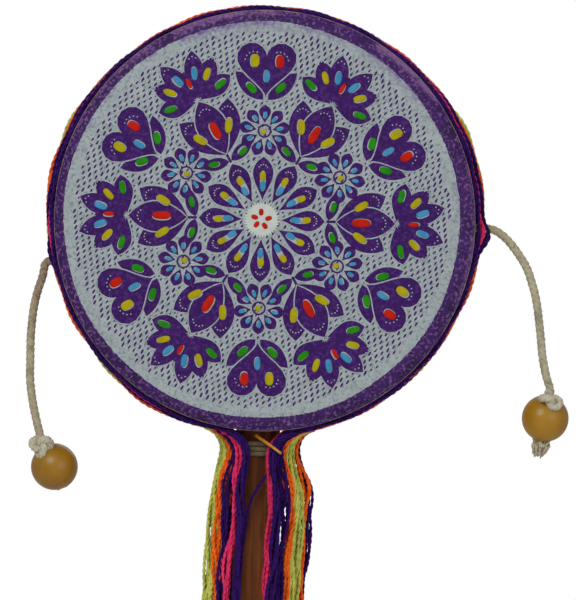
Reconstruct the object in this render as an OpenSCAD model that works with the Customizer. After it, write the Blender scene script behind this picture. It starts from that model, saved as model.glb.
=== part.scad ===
// Pellet drum rattle: a shallow two-headed drum on a stick, with two wooden
// pellets on cotton cords. Turning the stick to and fro between the palms swings
// the pellets round the rim, and they strike both heads.
// The stick stands along Z with the middle of its grip at the origin. The drum's
// axis lies along Y, and its printed head faces -Y.

/* [Drum] */
// Outer diameter of the wooden hoop
hoop_d = 133; // [100:1:180]
// Thickness of the hoop's wall
hoop_wall = 5; // [4.5:0.5:8]
// Depth of the hoop from rim to rim
hoop_depth = 34; // [32:1:60]
// Radius of the rounding on each outer rim of the hoop
rim_round = 3.8; // [2:0.1:4]
// Thickness of the hide of each head
hide_t = 1; // [0.6:0.1:1.6]
// How far the hide is turned down over the rim, in degrees
hide_turn = 62; // [40:1:75]

/* [Stick] */
// Diameter of the stick
stick_d = 14; // [10:0.5:18]
// Length of stick below the drum
stick_free = 153.5; // [140:0.5:220]
// Diameter of the grip, to which the stick tapers
grip_d = 13.4; // [9:0.1:18]
// Length of bare stick that the hands hold, below the tassels
grip_l = 40; // [30:1:45]
// Rounding of the stick's lower end
stick_end_round = 2; // [1:0.5:4]
// Diameter of the pin that holds the stick in the hoop's top
pin_d = 1.6; // [1:0.1:2]
// Length of that pin under its head
pin_l = 18; // [12:1:30]
// Diameter of the pin's head
pin_head_d = 3; // [2.2:0.1:3.2]
// Thickness of the pin's head
pin_head_t = 0.8; // [0.4:0.1:1.2]

/* [Binding] */
// Diameter of the white thread wound round the stick
binding_d = 1.1; // [0.8:0.1:1.2]
// Distance from one turn of the thread to the next
binding_pitch = 1.6; // [1.6:0.1:2.4]
// Number of turns
binding_turns = 3; // [2:1:6]
// Gap between the yarn's lowest line and the binding
binding_drop = 0.4; // [0.4:0.1:4]

/* [Yarn] */
// Diameter of one yarn
yarn_d = 2.4; // [1.8:0.1:2.4]
// Distance from the middle of one yarn to the middle of the next
yarn_pitch = 2.45; // [2.45:0.05:2.7]
// Width of the channel in the middle of the yarn, where the cords come through
cord_channel = 3.4; // [3.2:0.1:4]
// Radius of the bend in which each yarn turns down beside the stick
yarn_bend = 8; // [4:0.5:12]
// Length of the tassels below the drum
tassel_l = 98; // [60:1:98]
// Lean of the hanging yarns away from the stick, in degrees
tassel_lean = 1.5; // [0:0.5:4]

/* [Cords and pellets] */
// Diameter of the cotton cords
cord_d = 2.8; // [2:0.1:3]
// Diameter of the pellets
pellet_d = 15; // [12:0.5:16]
// Diameter of the hole through each pellet
pellet_bore = 3.4; // [3.2:0.1:4]
// Angle of the left cord's hole below the drum's middle
left_exit_angle = 12.5; // [5:0.5:20]
// Angle of the right cord's hole below the drum's middle
right_exit_angle = 0; // [-2:0.5:10]

/* [Hidden] */

// Clearances between pieces that fit together
glue_gap = 0.1;
drill_gap = 0.1;
hinge_gap = 0.2;
overrun = 1;
round_fn = 96;
// Cords are small, so their tubes and knots have few sides
cord_fn = 8;
knot_fn = 12;

// Sizes that follow from the ones above
hoop_r = hoop_d / 2;
hoop_in_r = hoop_r - hoop_wall;
hoop_half = hoop_depth / 2;
flat_r = hoop_r - rim_round;
stick_r = stick_d / 2;
grip_r = grip_d / 2;
stick_low = -(grip_l / 2 + stick_end_round);
drum_z = stick_low + stick_free + hoop_r;
stick_top = drum_z + sqrt(hoop_in_r * hoop_in_r - stick_r * stick_r) - glue_gap;
pin_r = pin_d / 2;
yarn_r = yarn_d / 2;
// A hanging yarn is a little thinner than in its bend, and starts inside the bend
hanging_share = 0.96;
hanging_start = yarn_r / 2;
cord_r = cord_d / 2;
pellet_r = pellet_d / 2;
wrap_r = hoop_r + glue_gap + yarn_r;
wrap_out_r = wrap_r + yarn_r;
binding_r = stick_r + glue_gap + binding_d / 2;
binding_top = drum_z - wrap_out_r - binding_drop - binding_d / 2;
binding_low = binding_top - binding_pitch * binding_turns - binding_d / 2;
binding_rings = 24;

PURPLE = [0.16, 0.05, 0.30];
PINK = [0.86, 0.18, 0.40];
ORANGE = [0.92, 0.36, 0.09];
LIME = [0.69, 0.72, 0.33];
HIDE = [0.27, 0.14, 0.45];
STAINED_WOOD = [0.33, 0.16, 0.08];
PALE_WOOD = [0.72, 0.55, 0.34];
COTTON = [0.80, 0.77, 0.66];
THREAD = [0.88, 0.86, 0.80];
LACQUER = [0.75, 0.53, 0.15];
STEEL = [0.60, 0.60, 0.58];

// Each row is one yarn: its colour, its number counted from the channel with the
// front ones negative, the shares of the stick's radius that say how far out its
// left and right ends hang, and the share of the tassel's length that it has.
yarn_shares = [
    ["purple", -5, 0.76, 0.88, 1.00],
    ["pink", -4, 1.08, 0.62, 0.97],
    ["purple", -3, 1.32, 1.16, 1.00],
    ["orange", -2, 1.56, 1.38, 0.98],
    ["lime", -1, 1.76, 1.74, 0.96],
    ["lime", 1, 1.90, 1.90, 0.99],
    ["orange", 2, 1.66, 2.14, 0.95],
    ["purple", 3, 1.42, 2.30, 0.99],
    ["pink", 4, 1.22, 1.52, 1.00],
    ["purple", 5, 1.00, 1.12, 0.97],
];

// The cords as they hang. Each point is [out, down, front] in millimetres from
// where the cord starts to lift, with out away from the stick. The cord lifts at
// the first point, swings at the second, and bends round the rim at rim_point.
// The last point is the middle of the knot above the pellet.
left_route = [
    [0, 0, 0], [1, 4.5, 0], [2.4, 9, 0], [3.5, 14.5, 0], [4, 20, 0], [4.2, 24.5, 0],
    [4.1, 31, 0], [3.9, 38, 0], [2.8, 45, 0.3], [1.2, 51.5, 1.1], [-0.4, 57, 2.3],
];
right_route = [
    [0, 0, 0], [2.9, 3.5, 0], [6.1, 8.4, 0], [8, 13.4, 0], [9.4, 18.3, 0], [10.3, 23.3, 0],
    [11.2, 29.7, 0], [12, 36.2, 0.4], [13.2, 42.1, 1.3], [14.9, 47.2, 2.3],
];
rim_point = 5;

// The left cord starts to lift just outside the yarn. The right one first stands
// out of it and bends over: these points are [out, down] from the yarn's surface.
left_out = 2.2;
right_lead = [[0, 0], [2, 0], [4.2, 0.4], [6.4, 1.5]];
right_start = [9.1, 3.8];

// Each pellet hangs by a knot. The turns are those of its hole, seen from the
// front, and its tip towards the front.
left_pellet_turn = 27;
right_pellet_turn = 8;
pellet_tip = 15;

// A knot is three loops of cord round a core, in shares of the cord's thickness
knot_ring_share = 0.9;
knot_core_share = 0.95;
knot_r = (knot_ring_share + 0.5) * cord_d;
// The knot under a pellet is smaller, by this share
tail_share = 0.7;
tail_r = tail_share * knot_r;
// How deep the knots sit in the dished ends of a pellet's hole
knot_seat = 2;
left_tail_seat = 4.5;
right_tail_seat = 2.4;
knot_away = pellet_r - knot_seat + knot_r + glue_gap;

// Turns a shape drawn in the front view, with its depth along +Z towards the
// viewer, on to the drum.
module on_drum() {
    translate([0, 0, drum_z])
        rotate([90, 0, 0])
            children();
}

// Points a shape's Z axis out of the hoop, on the side given as -1 or 1.
module out_of_hoop(side, angle) {
    translate([0, 0, drum_z])
        rotate([0, side * (90 + angle), 0])
            children();
}

// Where a cord leaves the yarn, as [out, up] from the drum's middle.
function exit_at(angle, out) = (wrap_out_r + out) * [cos(angle), -sin(angle)];

function left_start() = exit_at(left_exit_angle, left_out);
function right_base() = exit_at(right_exit_angle, 0);

// Places points given as [out, down, front] from a start.
function placed(side, start, route) = [
    for (p = route)
        [side * (start[0] + p[0]), len(p) > 2 ? -p[2] : 0, drum_z + start[1] - p[1]]
];

left_path = placed(-1, left_start(), left_route);
right_path = placed(1, right_base() + [right_start[0], -right_start[1]], right_route);

function unit(v) = v / norm(v);

// The point that lies a gap before the end of a stretch.
function short_of(from, to, gap) = to + gap * unit(from - to);

function part_of(path, first, last) = [for (i = [first : last]) path[i]];

// A path cut a hinge's gap short of its last point.
function cut_short(path) =
    let (n = len(path))
    concat(part_of(path, 0, n - 2), [short_of(path[n - 2], path[n - 1], cord_r + hinge_gap)]);

function heading(path, i) = unit(path[min(i + 1, len(path) - 1)] - path[max(i - 1, 0)]);

// The points of one ring of a tube, square to the path.
function ring(path, i, radius, sides, side_way) =
    let (
        h = heading(path, i),
        u = unit(side_way - (side_way * h) * h),
        v = cross(h, u)
    )
    [
        for (k = [0 : sides - 1])
            path[i] + radius * (cos(360 * k / sides) * u + sin(360 * k / sides) * v)
    ];

// A tube along a path, as one polyhedron with a radius for each point.
module swept(path, radii, sides, side_way) {
    last = (len(path) - 1) * sides;
    points = [
        for (i = [0 : len(path) - 1])
            each ring(path, i, radii[i], sides, side_way)
    ];
    walls = [
        for (i = [0 : len(path) - 2])
            for (k = [0 : sides - 1])
                let (a = i * sides + k, b = i * sides + (k + 1) % sides)
                each [[a, a + sides, b + sides], [a, b + sides, b]]
    ];
    start_cap = [for (k = [1 : sides - 2]) [0, k, k + 1]];
    end_cap = [for (k = [1 : sides - 2]) [last, last + k + 1, last + k]];
    polyhedron(points = points, faces = concat(walls, start_cap, end_cap));
}

// A stretch of cord that turns about its first point, so it starts with a ball.
module cord(path) {
    h = unit(path[1] - path[0]);
    ball_turns = [75, 40];
    ball = [for (t = ball_turns) path[0] - cord_r * sin(t) * h];
    ball_radii = [for (t = ball_turns) cord_r * cos(t)];
    swept(
        concat(ball, path),
        concat(ball_radii, [for (p = path) cord_r]),
        cord_fn,
        [0, 1, 0]
    );
}

// How far below a pellet's middle the middle of the lower knot lies.
function tail_away(side) =
    pellet_r - (side < 0 ? left_tail_seat : right_tail_seat) + tail_r + glue_gap;

module knot() {
    sphere(r = knot_core_share * cord_d, $fn = knot_fn);
    for (turn = [[20, 0, 0], [100, 35, 0], [70, -60, 0]])
        rotate(turn)
            rotate_extrude($fn = knot_fn)
                translate([knot_ring_share * cord_d, 0])
                    circle(r = cord_r, $fn = cord_fn);
}

// Puts Z along a pellet's hole, with the pellet's middle at the origin.
module at_pellet(side, path, turn) {
    up = [side * sin(turn), -sin(pellet_tip) * cos(turn), cos(pellet_tip) * cos(turn)];
    middle = path[len(path) - 1] - knot_away * up;
    translate(middle)
        rotate([pellet_tip, 0, 0])
            rotate([0, side * turn, 0])
                children();
}

// The hoop's section: a wall with its two outer corners rounded.
module hoop_profile() {
    translate([hoop_in_r, -hoop_half])
        square([hoop_wall - rim_round, hoop_depth]);
    translate([hoop_in_r, rim_round - hoop_half])
        square([hoop_wall, hoop_depth - 2 * rim_round]);
    for (end = [-1, 1])
        translate([flat_r, end * (hoop_half - rim_round)])
            circle(r = rim_round, $fn = round_fn);
}

module drum_hoop() {
    color(PALE_WOOD)
        difference() {
            on_drum()
                rotate_extrude($fn = round_fn)
                    hoop_profile();
            translate([0, 0, drum_z - hoop_r - overrun])
                cylinder(h = hoop_wall + 2 * overrun, r = stick_r + drill_gap, $fn = round_fn);
            out_of_hoop(-1, left_exit_angle)
                cord_hole();
            out_of_hoop(1, right_exit_angle)
                cord_hole();
            translate([0, 0, drum_z + hoop_in_r - overrun])
                cylinder(h = hoop_wall + 2 * overrun, r = pin_r + drill_gap, $fn = round_fn);
            translate([0, 0, drum_z + hoop_r - pin_head_t])
                cylinder(h = pin_head_t + overrun, r = pin_head_d / 2 + drill_gap, $fn = round_fn);
        }
}

module cord_hole() {
    translate([0, 0, hoop_in_r - overrun])
        cylinder(h = hoop_wall + 2 * overrun, r = cord_r + drill_gap, $fn = round_fn);
}

// The hide's section: flat over the drum, then turned down over the rim, with its
// cut edge bare.
module hide_profile() {
    inner = rim_round + glue_gap;
    outer = inner + hide_t;
    reach = 2 * outer;
    translate([0, hoop_half + glue_gap])
        square([flat_r, hide_t]);
    translate([flat_r, hoop_half - rim_round])
        intersection() {
            difference() {
                circle(r = outer, $fn = round_fn);
                circle(r = inner, $fn = round_fn);
            }
            polygon([
                [0, 0],
                [0, reach],
                reach * [sin(hide_turn / 2), cos(hide_turn / 2)],
                reach * [sin(hide_turn), cos(hide_turn)],
            ]);
        }
}

module head() {
    color(HIDE)
        rotate_extrude($fn = round_fn)
            hide_profile();
}

module front_head() {
    on_drum()
        head();
}

module back_head() {
    on_drum()
        mirror([0, 0, 1])
            head();
}

// The stick's half section: a grip with a rounded end, a taper up to the binding,
// and a straight length from there through the hoop.
module stick_profile() {
    grip_low = stick_low + stick_end_round;
    translate([0, stick_low])
        square([grip_r - stick_end_round, grip_l]);
    translate([grip_r - stick_end_round, grip_low])
        circle(r = stick_end_round, $fn = round_fn);
    polygon([
        [0, grip_low],
        [grip_r, grip_low],
        [grip_r, grip_low + grip_l],
        [stick_r, binding_low],
        [stick_r, stick_top],
        [0, stick_top],
    ]);
}

// The stick runs up through the hoop's lower hole and ends under its top.
module stick() {
    color(STAINED_WOOD)
        difference() {
            rotate_extrude($fn = round_fn)
                stick_profile();
            translate([0, 0, drum_z + hoop_r - pin_head_t - pin_l - overrun])
                cylinder(h = pin_l + 2 * overrun, r = pin_r + drill_gap, $fn = round_fn);
        }
}

module stick_pin() {
    color(STEEL)
        translate([0, 0, drum_z + hoop_r - pin_head_t]) {
            cylinder(h = pin_head_t, r = pin_head_d / 2, $fn = round_fn);
            translate([0, 0, -pin_l])
                cylinder(h = pin_l + pin_head_t / 2, r = pin_r, $fn = round_fn);
        }
}

// The binding's middle line: turns down the stick, with both ends running straight.
function binding_at(turns) = [
    binding_r * cos(360 * turns),
    binding_r * sin(360 * turns),
    binding_top - binding_pitch * turns,
];

binding_line = [for (i = [0 : binding_turns * binding_rings]) binding_at(i / binding_rings)];

function on_past(path, first, second) = path[first] + binding_d * unit(path[first] - path[second]);

binding_path = concat(
    [on_past(binding_line, 0, 1)],
    binding_line,
    [on_past(binding_line, len(binding_line) - 1, len(binding_line) - 2)]
);

// The least gap between two turns, measured on points over half a turn apart.
binding_gap = min([
    for (i = [0 : len(binding_path) - 1])
        for (j = [i + binding_rings / 2 : 1 : len(binding_path) - 1])
            norm(binding_path[i] - binding_path[j])
]) - binding_d;
echo(binding_gap = binding_gap);

module stick_binding() {
    color(THREAD)
        swept(binding_path, [for (p = binding_path) binding_d / 2], 6, [0, 0, 1]);
}

// How far in front of the drum's middle a yarn lies.
function yarn_front(row) =
    -sign(row[1]) * (cord_channel / 2 + yarn_r + (abs(row[1]) - 1) * yarn_pitch);

// The angle from the drum's lowest point at which a yarn leaves the hoop, on the side
// given as -1 or 1.
function leaves_at(row, side) =
    let (out_share = side < 0 ? row[2] : row[3])
    asin((out_share * stick_r + yarn_bend) / (wrap_r + yarn_bend));

// One yarn round the hoop, open below where its two ends turn down.
module wrap(row) {
    left_away = leaves_at(row, -1);
    right_away = leaves_at(row, 1);
    translate([0, 0, yarn_front(row)])
        rotate([0, 0, right_away - 90])
            rotate_extrude(angle = 360 - left_away - right_away, $fn = round_fn)
                translate([wrap_r, 0])
                    circle(r = yarn_r, $fn = round_fn);
}

// The end of one yarn, from the hoop round its bend and down beside the stick.
module tassel_yarn(row, side) {
    away = leaves_at(row, side);
    turn = 90 + tassel_lean - away;
    translate([(wrap_r + yarn_bend) * sin(away), -(wrap_r + yarn_bend) * cos(away), yarn_front(row)]) {
        rotate([0, 0, 90 + away])
            rotate_extrude(angle = turn, $fn = round_fn)
                translate([yarn_bend, 0])
                    circle(r = yarn_r, $fn = round_fn);
        rotate([0, 0, 180 + tassel_lean])
            translate([yarn_bend, -hanging_start, 0])
                rotate([-90, 0, 0])
                    cylinder(
                        h = hanging_start + tassel_l * row[4],
                        r = hanging_share * yarn_r,
                        $fn = round_fn
                    );
    }
}

module yarn_wrap(name, paint) {
    color(paint)
        on_drum()
            for (row = yarn_shares)
                if (row[0] == name)
                    wrap(row);
}

module tassel(side, name, paint) {
    color(paint)
        on_drum()
            mirror([side < 0 ? 1 : 0, 0, 0])
                for (row = yarn_shares)
                    if (row[0] == name)
                        tassel_yarn(row, side);
}

module yarn_wrap_purple() yarn_wrap("purple", PURPLE);
module yarn_wrap_pink() yarn_wrap("pink", PINK);
module yarn_wrap_orange() yarn_wrap("orange", ORANGE);
module yarn_wrap_lime() yarn_wrap("lime", LIME);
module left_tassel_purple() tassel(-1, "purple", PURPLE);
module left_tassel_pink() tassel(-1, "pink", PINK);
module left_tassel_orange() tassel(-1, "orange", ORANGE);
module left_tassel_lime() tassel(-1, "lime", LIME);
module right_tassel_purple() tassel(1, "purple", PURPLE);
module right_tassel_pink() tassel(1, "pink", PINK);
module right_tassel_orange() tassel(1, "orange", ORANGE);
module right_tassel_lime() tassel(1, "lime", LIME);

// The knot inside the hoop that holds a cord, and its straight run out through the
// hole to the radius given.
module anchor_knot(side, angle, out_r) {
    knot_place = hoop_in_r - knot_r - glue_gap;
    color(COTTON)
        out_of_hoop(side, angle) {
            translate([0, 0, knot_place]) {
                knot();
                cylinder(h = out_r - knot_place, r = cord_r, $fn = cord_fn);
            }
        }
}

module left_anchor_knot()
    anchor_knot(-1, left_exit_angle, wrap_out_r + left_out - cord_r - hinge_gap);

module right_anchor_knot() anchor_knot(1, right_exit_angle, wrap_out_r);

// Outside the yarn the right cord stands out and bends over before it can lift.
module right_cord_lead() {
    lead = placed(1, right_base(), right_lead);
    color(COTTON)
        swept(
            cut_short(concat(lead, [right_path[0]])),
            [for (i = [0 : len(lead)]) cord_r],
            cord_fn,
            [0, 1, 0]
        );
}

// The lowest stretch of a cord, from where it bends round the rim to its knot.
module cord_lower(path) {
    last = len(path) - 1;
    color(COTTON)
        cord(concat(
            part_of(path, rim_point, last - 1),
            [short_of(path[last - 1], path[last], knot_r + glue_gap)]
        ));
}

// The knots above and below a pellet, and the cord through its hole.
module pellet_knots(side, path, turn) {
    last = len(path) - 1;
    neck = unit(path[last - 1] - path[last]);
    color(COTTON) {
        at_pellet(side, path, turn) {
            translate([0, 0, knot_away])
                knot();
            translate([0, 0, -tail_away(side)]) {
                scale(tail_share)
                    knot();
                cylinder(h = knot_away + tail_away(side), r = cord_r, $fn = cord_fn);
            }
        }
        translate(path[last])
            rotate([0, acos(neck[2]), atan2(neck[1], neck[0])])
                cylinder(h = knot_r + glue_gap, r = cord_r, $fn = cord_fn);
    }
}

// A turned ball with a drilled hole, dished at both ends for the knots.
module pellet(side, path, turn) {
    color(LACQUER)
        at_pellet(side, path, turn)
            difference() {
                sphere(r = pellet_r, $fn = round_fn);
                translate([0, 0, -pellet_r])
                    cylinder(h = pellet_d, r = pellet_bore / 2, $fn = round_fn);
                translate([0, 0, knot_away])
                    sphere(r = knot_r + glue_gap, $fn = round_fn);
                translate([0, 0, -tail_away(side)])
                    sphere(r = tail_r + glue_gap, $fn = round_fn);
            }
}

module left_cord_root() color(COTTON) cord(cut_short(part_of(left_path, 0, 1)));
module left_cord_upper() color(COTTON) cord(cut_short(part_of(left_path, 1, rim_point)));
module left_cord_lower() cord_lower(left_path);
module left_pellet_knots() pellet_knots(-1, left_path, left_pellet_turn);
module left_pellet() pellet(-1, left_path, left_pellet_turn);
module right_cord_root() color(COTTON) cord(cut_short(part_of(right_path, 0, 1)));
module right_cord_upper() color(COTTON) cord(cut_short(part_of(right_path, 1, rim_point)));
module right_cord_lower() cord_lower(right_path);
module right_pellet_knots() pellet_knots(1, right_path, right_pellet_turn);
module right_pellet() pellet(1, right_path, right_pellet_turn);

drum_hoop();
front_head();
back_head();
stick();
stick_pin();
stick_binding();
yarn_wrap_purple();
yarn_wrap_pink();
yarn_wrap_orange();
yarn_wrap_lime();
left_tassel_purple();
left_tassel_pink();
left_tassel_orange();
left_tassel_lime();
right_tassel_purple();
right_tassel_pink();
right_tassel_orange();
right_tassel_lime();
left_anchor_knot();
left_cord_root();
left_cord_upper();
left_cord_lower();
left_pellet_knots();
left_pellet();
right_anchor_knot();
right_cord_lead();
right_cord_root();
right_cord_upper();
right_cord_lower();
right_pellet_knots();
right_pellet();
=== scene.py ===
"""Looks of the pellet drum rattle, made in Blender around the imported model.

The rattle stands upright with the middle of its grip at the origin. Its printed head
faces -Y. Lengths are in millimetres unless metres are named, and MM turns them into
metres. Angles in tables are in degrees.
"""

import logging
import math
import random
from dataclasses import dataclass, replace
from enum import Enum
from typing import Callable, Iterable, Sequence

import bmesh
import bpy
from mathutils import Matrix, Vector


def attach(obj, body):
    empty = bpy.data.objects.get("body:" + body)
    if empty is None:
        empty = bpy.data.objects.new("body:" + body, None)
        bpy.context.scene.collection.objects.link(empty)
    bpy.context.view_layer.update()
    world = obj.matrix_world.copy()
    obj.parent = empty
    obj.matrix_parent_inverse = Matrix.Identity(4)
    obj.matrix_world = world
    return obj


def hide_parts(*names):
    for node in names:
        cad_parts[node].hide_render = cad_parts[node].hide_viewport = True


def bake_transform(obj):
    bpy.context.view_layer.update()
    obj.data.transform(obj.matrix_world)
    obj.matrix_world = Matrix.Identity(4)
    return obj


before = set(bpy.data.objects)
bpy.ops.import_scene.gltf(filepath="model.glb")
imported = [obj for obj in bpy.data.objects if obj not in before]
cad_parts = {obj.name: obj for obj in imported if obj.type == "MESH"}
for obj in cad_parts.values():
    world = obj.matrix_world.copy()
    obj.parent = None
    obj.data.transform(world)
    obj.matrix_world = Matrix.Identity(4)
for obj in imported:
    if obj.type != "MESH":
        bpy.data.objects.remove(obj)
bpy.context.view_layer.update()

MM = 0.001
TURN = 2 * math.pi
LOG = logging.getLogger("rattle")

Point2 = tuple[float, float]
Point3 = tuple[float, float, float]
Shade = tuple[int, int, int]
Colour = tuple[float, float, float, float]
Material = bpy.types.Material
Piece = bpy.types.Object
Socket = bpy.types.NodeSocket
Sockets = bpy.types.bpy_prop_collection
Tree = bpy.types.NodeTree


def paint(shade: Shade) -> Colour:
    """Turn a colour as seen on a screen, 0 to 255, into the linear one that shaders take."""
    knee, slope, lift, power = 0.04045, 12.92, 0.055, 2.4
    shares = [part / 255 for part in shade]
    linear = [c / slope if c <= knee else ((c + lift) / (1 + lift)) ** power for c in shares]
    return (linear[0], linear[1], linear[2], 1.0)


# Sizes

@dataclass(frozen=True)
class DrumSizes:
    """The drum's sizes, as in the CAD source."""

    middle: float = 198.0
    hoop_radius: float = 66.5
    hoop_half: float = 17.0
    hoop_wall: float = 5.0
    glue_gap: float = 0.1
    hide: float = 1.0
    yarn_radius: float = 1.2
    yarn_pitch: float = 2.45
    cord_channel: float = 3.4
    yarn_bend: float = 8.0
    tassel_length: float = 98.0
    rim_bend: float = 3.9
    hide_radius: float = 62.7

    @property
    def face(self) -> float:
        """How far in front of the drum's middle the front head's surface lies."""
        return self.hoop_half + self.glue_gap + self.hide

    def head(self, radius: float) -> float:
        """How far in front of the drum's middle the head lies at a radius."""
        beyond = min(max(0.0, radius - self.hide_radius), self.rim_bend)
        bend = self.rim_bend + self.hide
        return self.face - bend + math.sqrt(bend ** 2 - beyond ** 2)

    @property
    def wrap_radius(self) -> float:
        """Radius of the middle line of the yarn round the hoop."""
        return self.hoop_radius + self.glue_gap + self.yarn_radius

    @property
    def yarn_surface(self) -> float:
        """Radius of the outside of the yarn round the hoop."""
        return self.wrap_radius + self.yarn_radius


@dataclass(frozen=True)
class StickSizes:
    """The stick's sizes, as in the CAD source."""

    radius: float = 7.0
    low_end: float = -22.0
    binding_thread: float = 1.1
    binding_pitch: float = 1.6
    binding_turns: int = 3
    binding_drop: float = 0.4


DRUM = DrumSizes()
STICK = StickSizes()


class Side(Enum):
    """A side of the drum, seen from the front."""

    LEFT = -1
    RIGHT = 1


class Face(Enum):
    """A head of the drum, by the way it faces along Y."""

    FRONT = -1
    BACK = 1


class YarnColour(Enum):
    """The colours of yarn, named as in the CAD nodes."""

    PURPLE = "purple"
    PINK = "pink"
    ORANGE = "orange"
    LIME = "lime"


@dataclass(frozen=True)
class YarnLie:
    """How one yarn lies: its row from the channel, front ones negative, and its shares."""

    colour: YarnColour
    row: int
    left_share: float
    right_share: float
    length_share: float

    @property
    def depth(self) -> float:
        """Where the yarn lies along Y, with the front ones negative."""
        rows = DRUM.cord_channel / 2 + DRUM.yarn_radius + (abs(self.row) - 1) * DRUM.yarn_pitch
        return math.copysign(rows, self.row)

    def out_share(self, side: Side) -> float:
        """The share of the stick's radius at which the yarn hangs on a side."""
        return self.left_share if side is Side.LEFT else self.right_share


YARNS = (
    YarnLie(YarnColour.PURPLE, -5, 0.76, 0.88, 1.00),
    YarnLie(YarnColour.PINK, -4, 1.08, 0.62, 0.97),
    YarnLie(YarnColour.PURPLE, -3, 1.32, 1.16, 1.00),
    YarnLie(YarnColour.ORANGE, -2, 1.56, 1.38, 0.98),
    YarnLie(YarnColour.LIME, -1, 1.76, 1.74, 0.96),
    YarnLie(YarnColour.LIME, 1, 1.90, 1.90, 0.99),
    YarnLie(YarnColour.ORANGE, 2, 1.66, 2.14, 0.95),
    YarnLie(YarnColour.PURPLE, 3, 1.42, 2.30, 0.99),
    YarnLie(YarnColour.PINK, 4, 1.22, 1.52, 1.00),
    YarnLie(YarnColour.PURPLE, 5, 1.00, 1.12, 0.97),
)


# Node trees

class Wiring:
    """Adds nodes to a tree and joins them up."""

    def __init__(self, tree: Tree) -> None:
        """Start on a tree."""
        self.tree = tree

    def add(self, kind: str, inputs: dict | None = None, **settings: object) -> bpy.types.Node:
        """Add a node.

        Args:
            kind: the node's type name.
            inputs: a value or a socket for each input, by name or number.
            settings: the node's own properties.

        Returns:
            The new node.
        """
        node = self.tree.nodes.new(kind)
        for name, value in settings.items():
            setattr(node, name, value)
        self.fill(node, inputs or {})
        return node

    def fill(self, node: bpy.types.Node, inputs: dict) -> None:
        """Give inputs of a node their values, or link them to other nodes' sockets."""
        for key, value in inputs.items():
            if isinstance(value, Socket):
                self.tree.links.new(value, node.inputs[key])
            else:
                node.inputs[key].default_value = value

    def made(self, kind: str, inputs: dict | None = None, **settings: object) -> Socket:
        """Add a node and return its first output."""
        return self.add(kind, inputs, **settings).outputs[0]

    def maths(self, operation: str, *values: object) -> Socket:
        """Add a Math node and return its output."""
        return self.made("ShaderNodeMath", dict(enumerate(values)), operation=operation)

    def product(self, first: object, second: object) -> Socket:
        """Multiply two numbers and return the result."""
        return self.maths("MULTIPLY", first, second)

    def vector(self, operation: str, *values: object) -> Socket:
        """Add a Vector Math node and return its vector output."""
        return self.made("ShaderNodeVectorMath", dict(enumerate(values)), operation=operation)

    def measure(self, operation: str, *values: object) -> Socket:
        """Add a Vector Math node and return its number."""
        inputs = dict(enumerate(values))
        return self.add("ShaderNodeVectorMath", inputs, operation=operation).outputs["Value"]

    def times(self, vector: object, factor: object) -> Socket:
        """Scale a vector by a number and return the result."""
        return self.made("ShaderNodeVectorMath", {0: vector, "Scale": factor}, operation="SCALE")

    def axes(self, **parts: object) -> Socket:
        """Combine X, Y and Z into a vector."""
        return self.made("ShaderNodeCombineXYZ", parts)

    def between(self, value: object, low: object, high: object) -> Socket:
        """Map a value from low and high to 0 and 1, held within them."""
        return self.made("ShaderNodeMapRange", {"Value": value, "From Min": low, "From Max": high})

    def mixed(self, factor: object, first: object, second: object) -> Socket:
        """Mix two colours and return the result."""
        node = self.add("ShaderNodeMix", {0: factor, 6: first, 7: second}, data_type="RGBA")
        return node.outputs[2]

    def place(self) -> Socket:
        """The place on the object."""
        return self.add("ShaderNodeTexCoord").outputs["Object"]

    def noise(self, where: Socket, scale: object, detail: float, distortion: float = 0.0) -> Socket:
        """Add noise and return its value."""
        inputs = {"Vector": where, "Scale": scale, "Detail": detail, "Distortion": distortion}
        return self.made("ShaderNodeTexNoise", inputs)

    def chance(self, seed: Socket, low: object, high: object) -> Socket:
        """Add a random number, or a random vector, between two."""
        form, first, out = ("FLOAT_VECTOR", 0, 0) if isinstance(low, tuple) else ("FLOAT", 2, 1)
        inputs = {"Seed": seed, first: low, first + 1: high}
        return self.add("FunctionNodeRandomValue", inputs, data_type=form).outputs[out]

    def attribute(self, name: str, form: str) -> Socket:
        """Read a mesh's own attribute."""
        return self.made("GeometryNodeInputNamedAttribute", {"Name": name}, data_type=form)

    def tube(self, curve: Socket, profile: Socket) -> Socket:
        """Sweep a profile along a curve, with closed ends."""
        inputs = {"Curve": curve, "Profile Curve": profile, "Fill Caps": True}
        return self.made("GeometryNodeCurveToMesh", inputs)

    def moved(self, geometry: Socket, **changes: object) -> Socket:
        """Move, turn or scale geometry."""
        return self.made("GeometryNodeTransform", {"Geometry": geometry, **changes})

    def hand_out(self, geometry: Socket, finish: Socket) -> Tree:
        """End a geometry tree with what it made, as plain geometry with its finish."""
        real = self.made("GeometryNodeRealizeInstances", {"Geometry": geometry})
        done = self.made("GeometryNodeSetMaterial", {"Geometry": real, "Material": finish})
        self.add("NodeGroupOutput", {0: done})
        return self.tree


def new_group(name: str, kind: str, inputs: dict, outputs: dict) -> tuple[Wiring, Sockets]:
    """Make a node group with its named sockets.

    Args:
        name: the group's name.
        kind: Shader or Geometry.
        inputs: the type of each input, without the NodeSocket that all types start with.
        outputs: the type of each output, given the same way.

    Returns:
        The group's wiring, and the sockets that hand over what it is given.
    """
    group = bpy.data.node_groups.new(name, kind + "NodeTree")
    for way, sockets in (("INPUT", inputs), ("OUTPUT", outputs)):
        for label, form in sockets.items():
            group.interface.new_socket(name=label, in_out=way, socket_type="NodeSocket" + form)
    w = Wiring(group)
    return w, w.add("NodeGroupInput").outputs


# Shader groups that several finishes share

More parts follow.
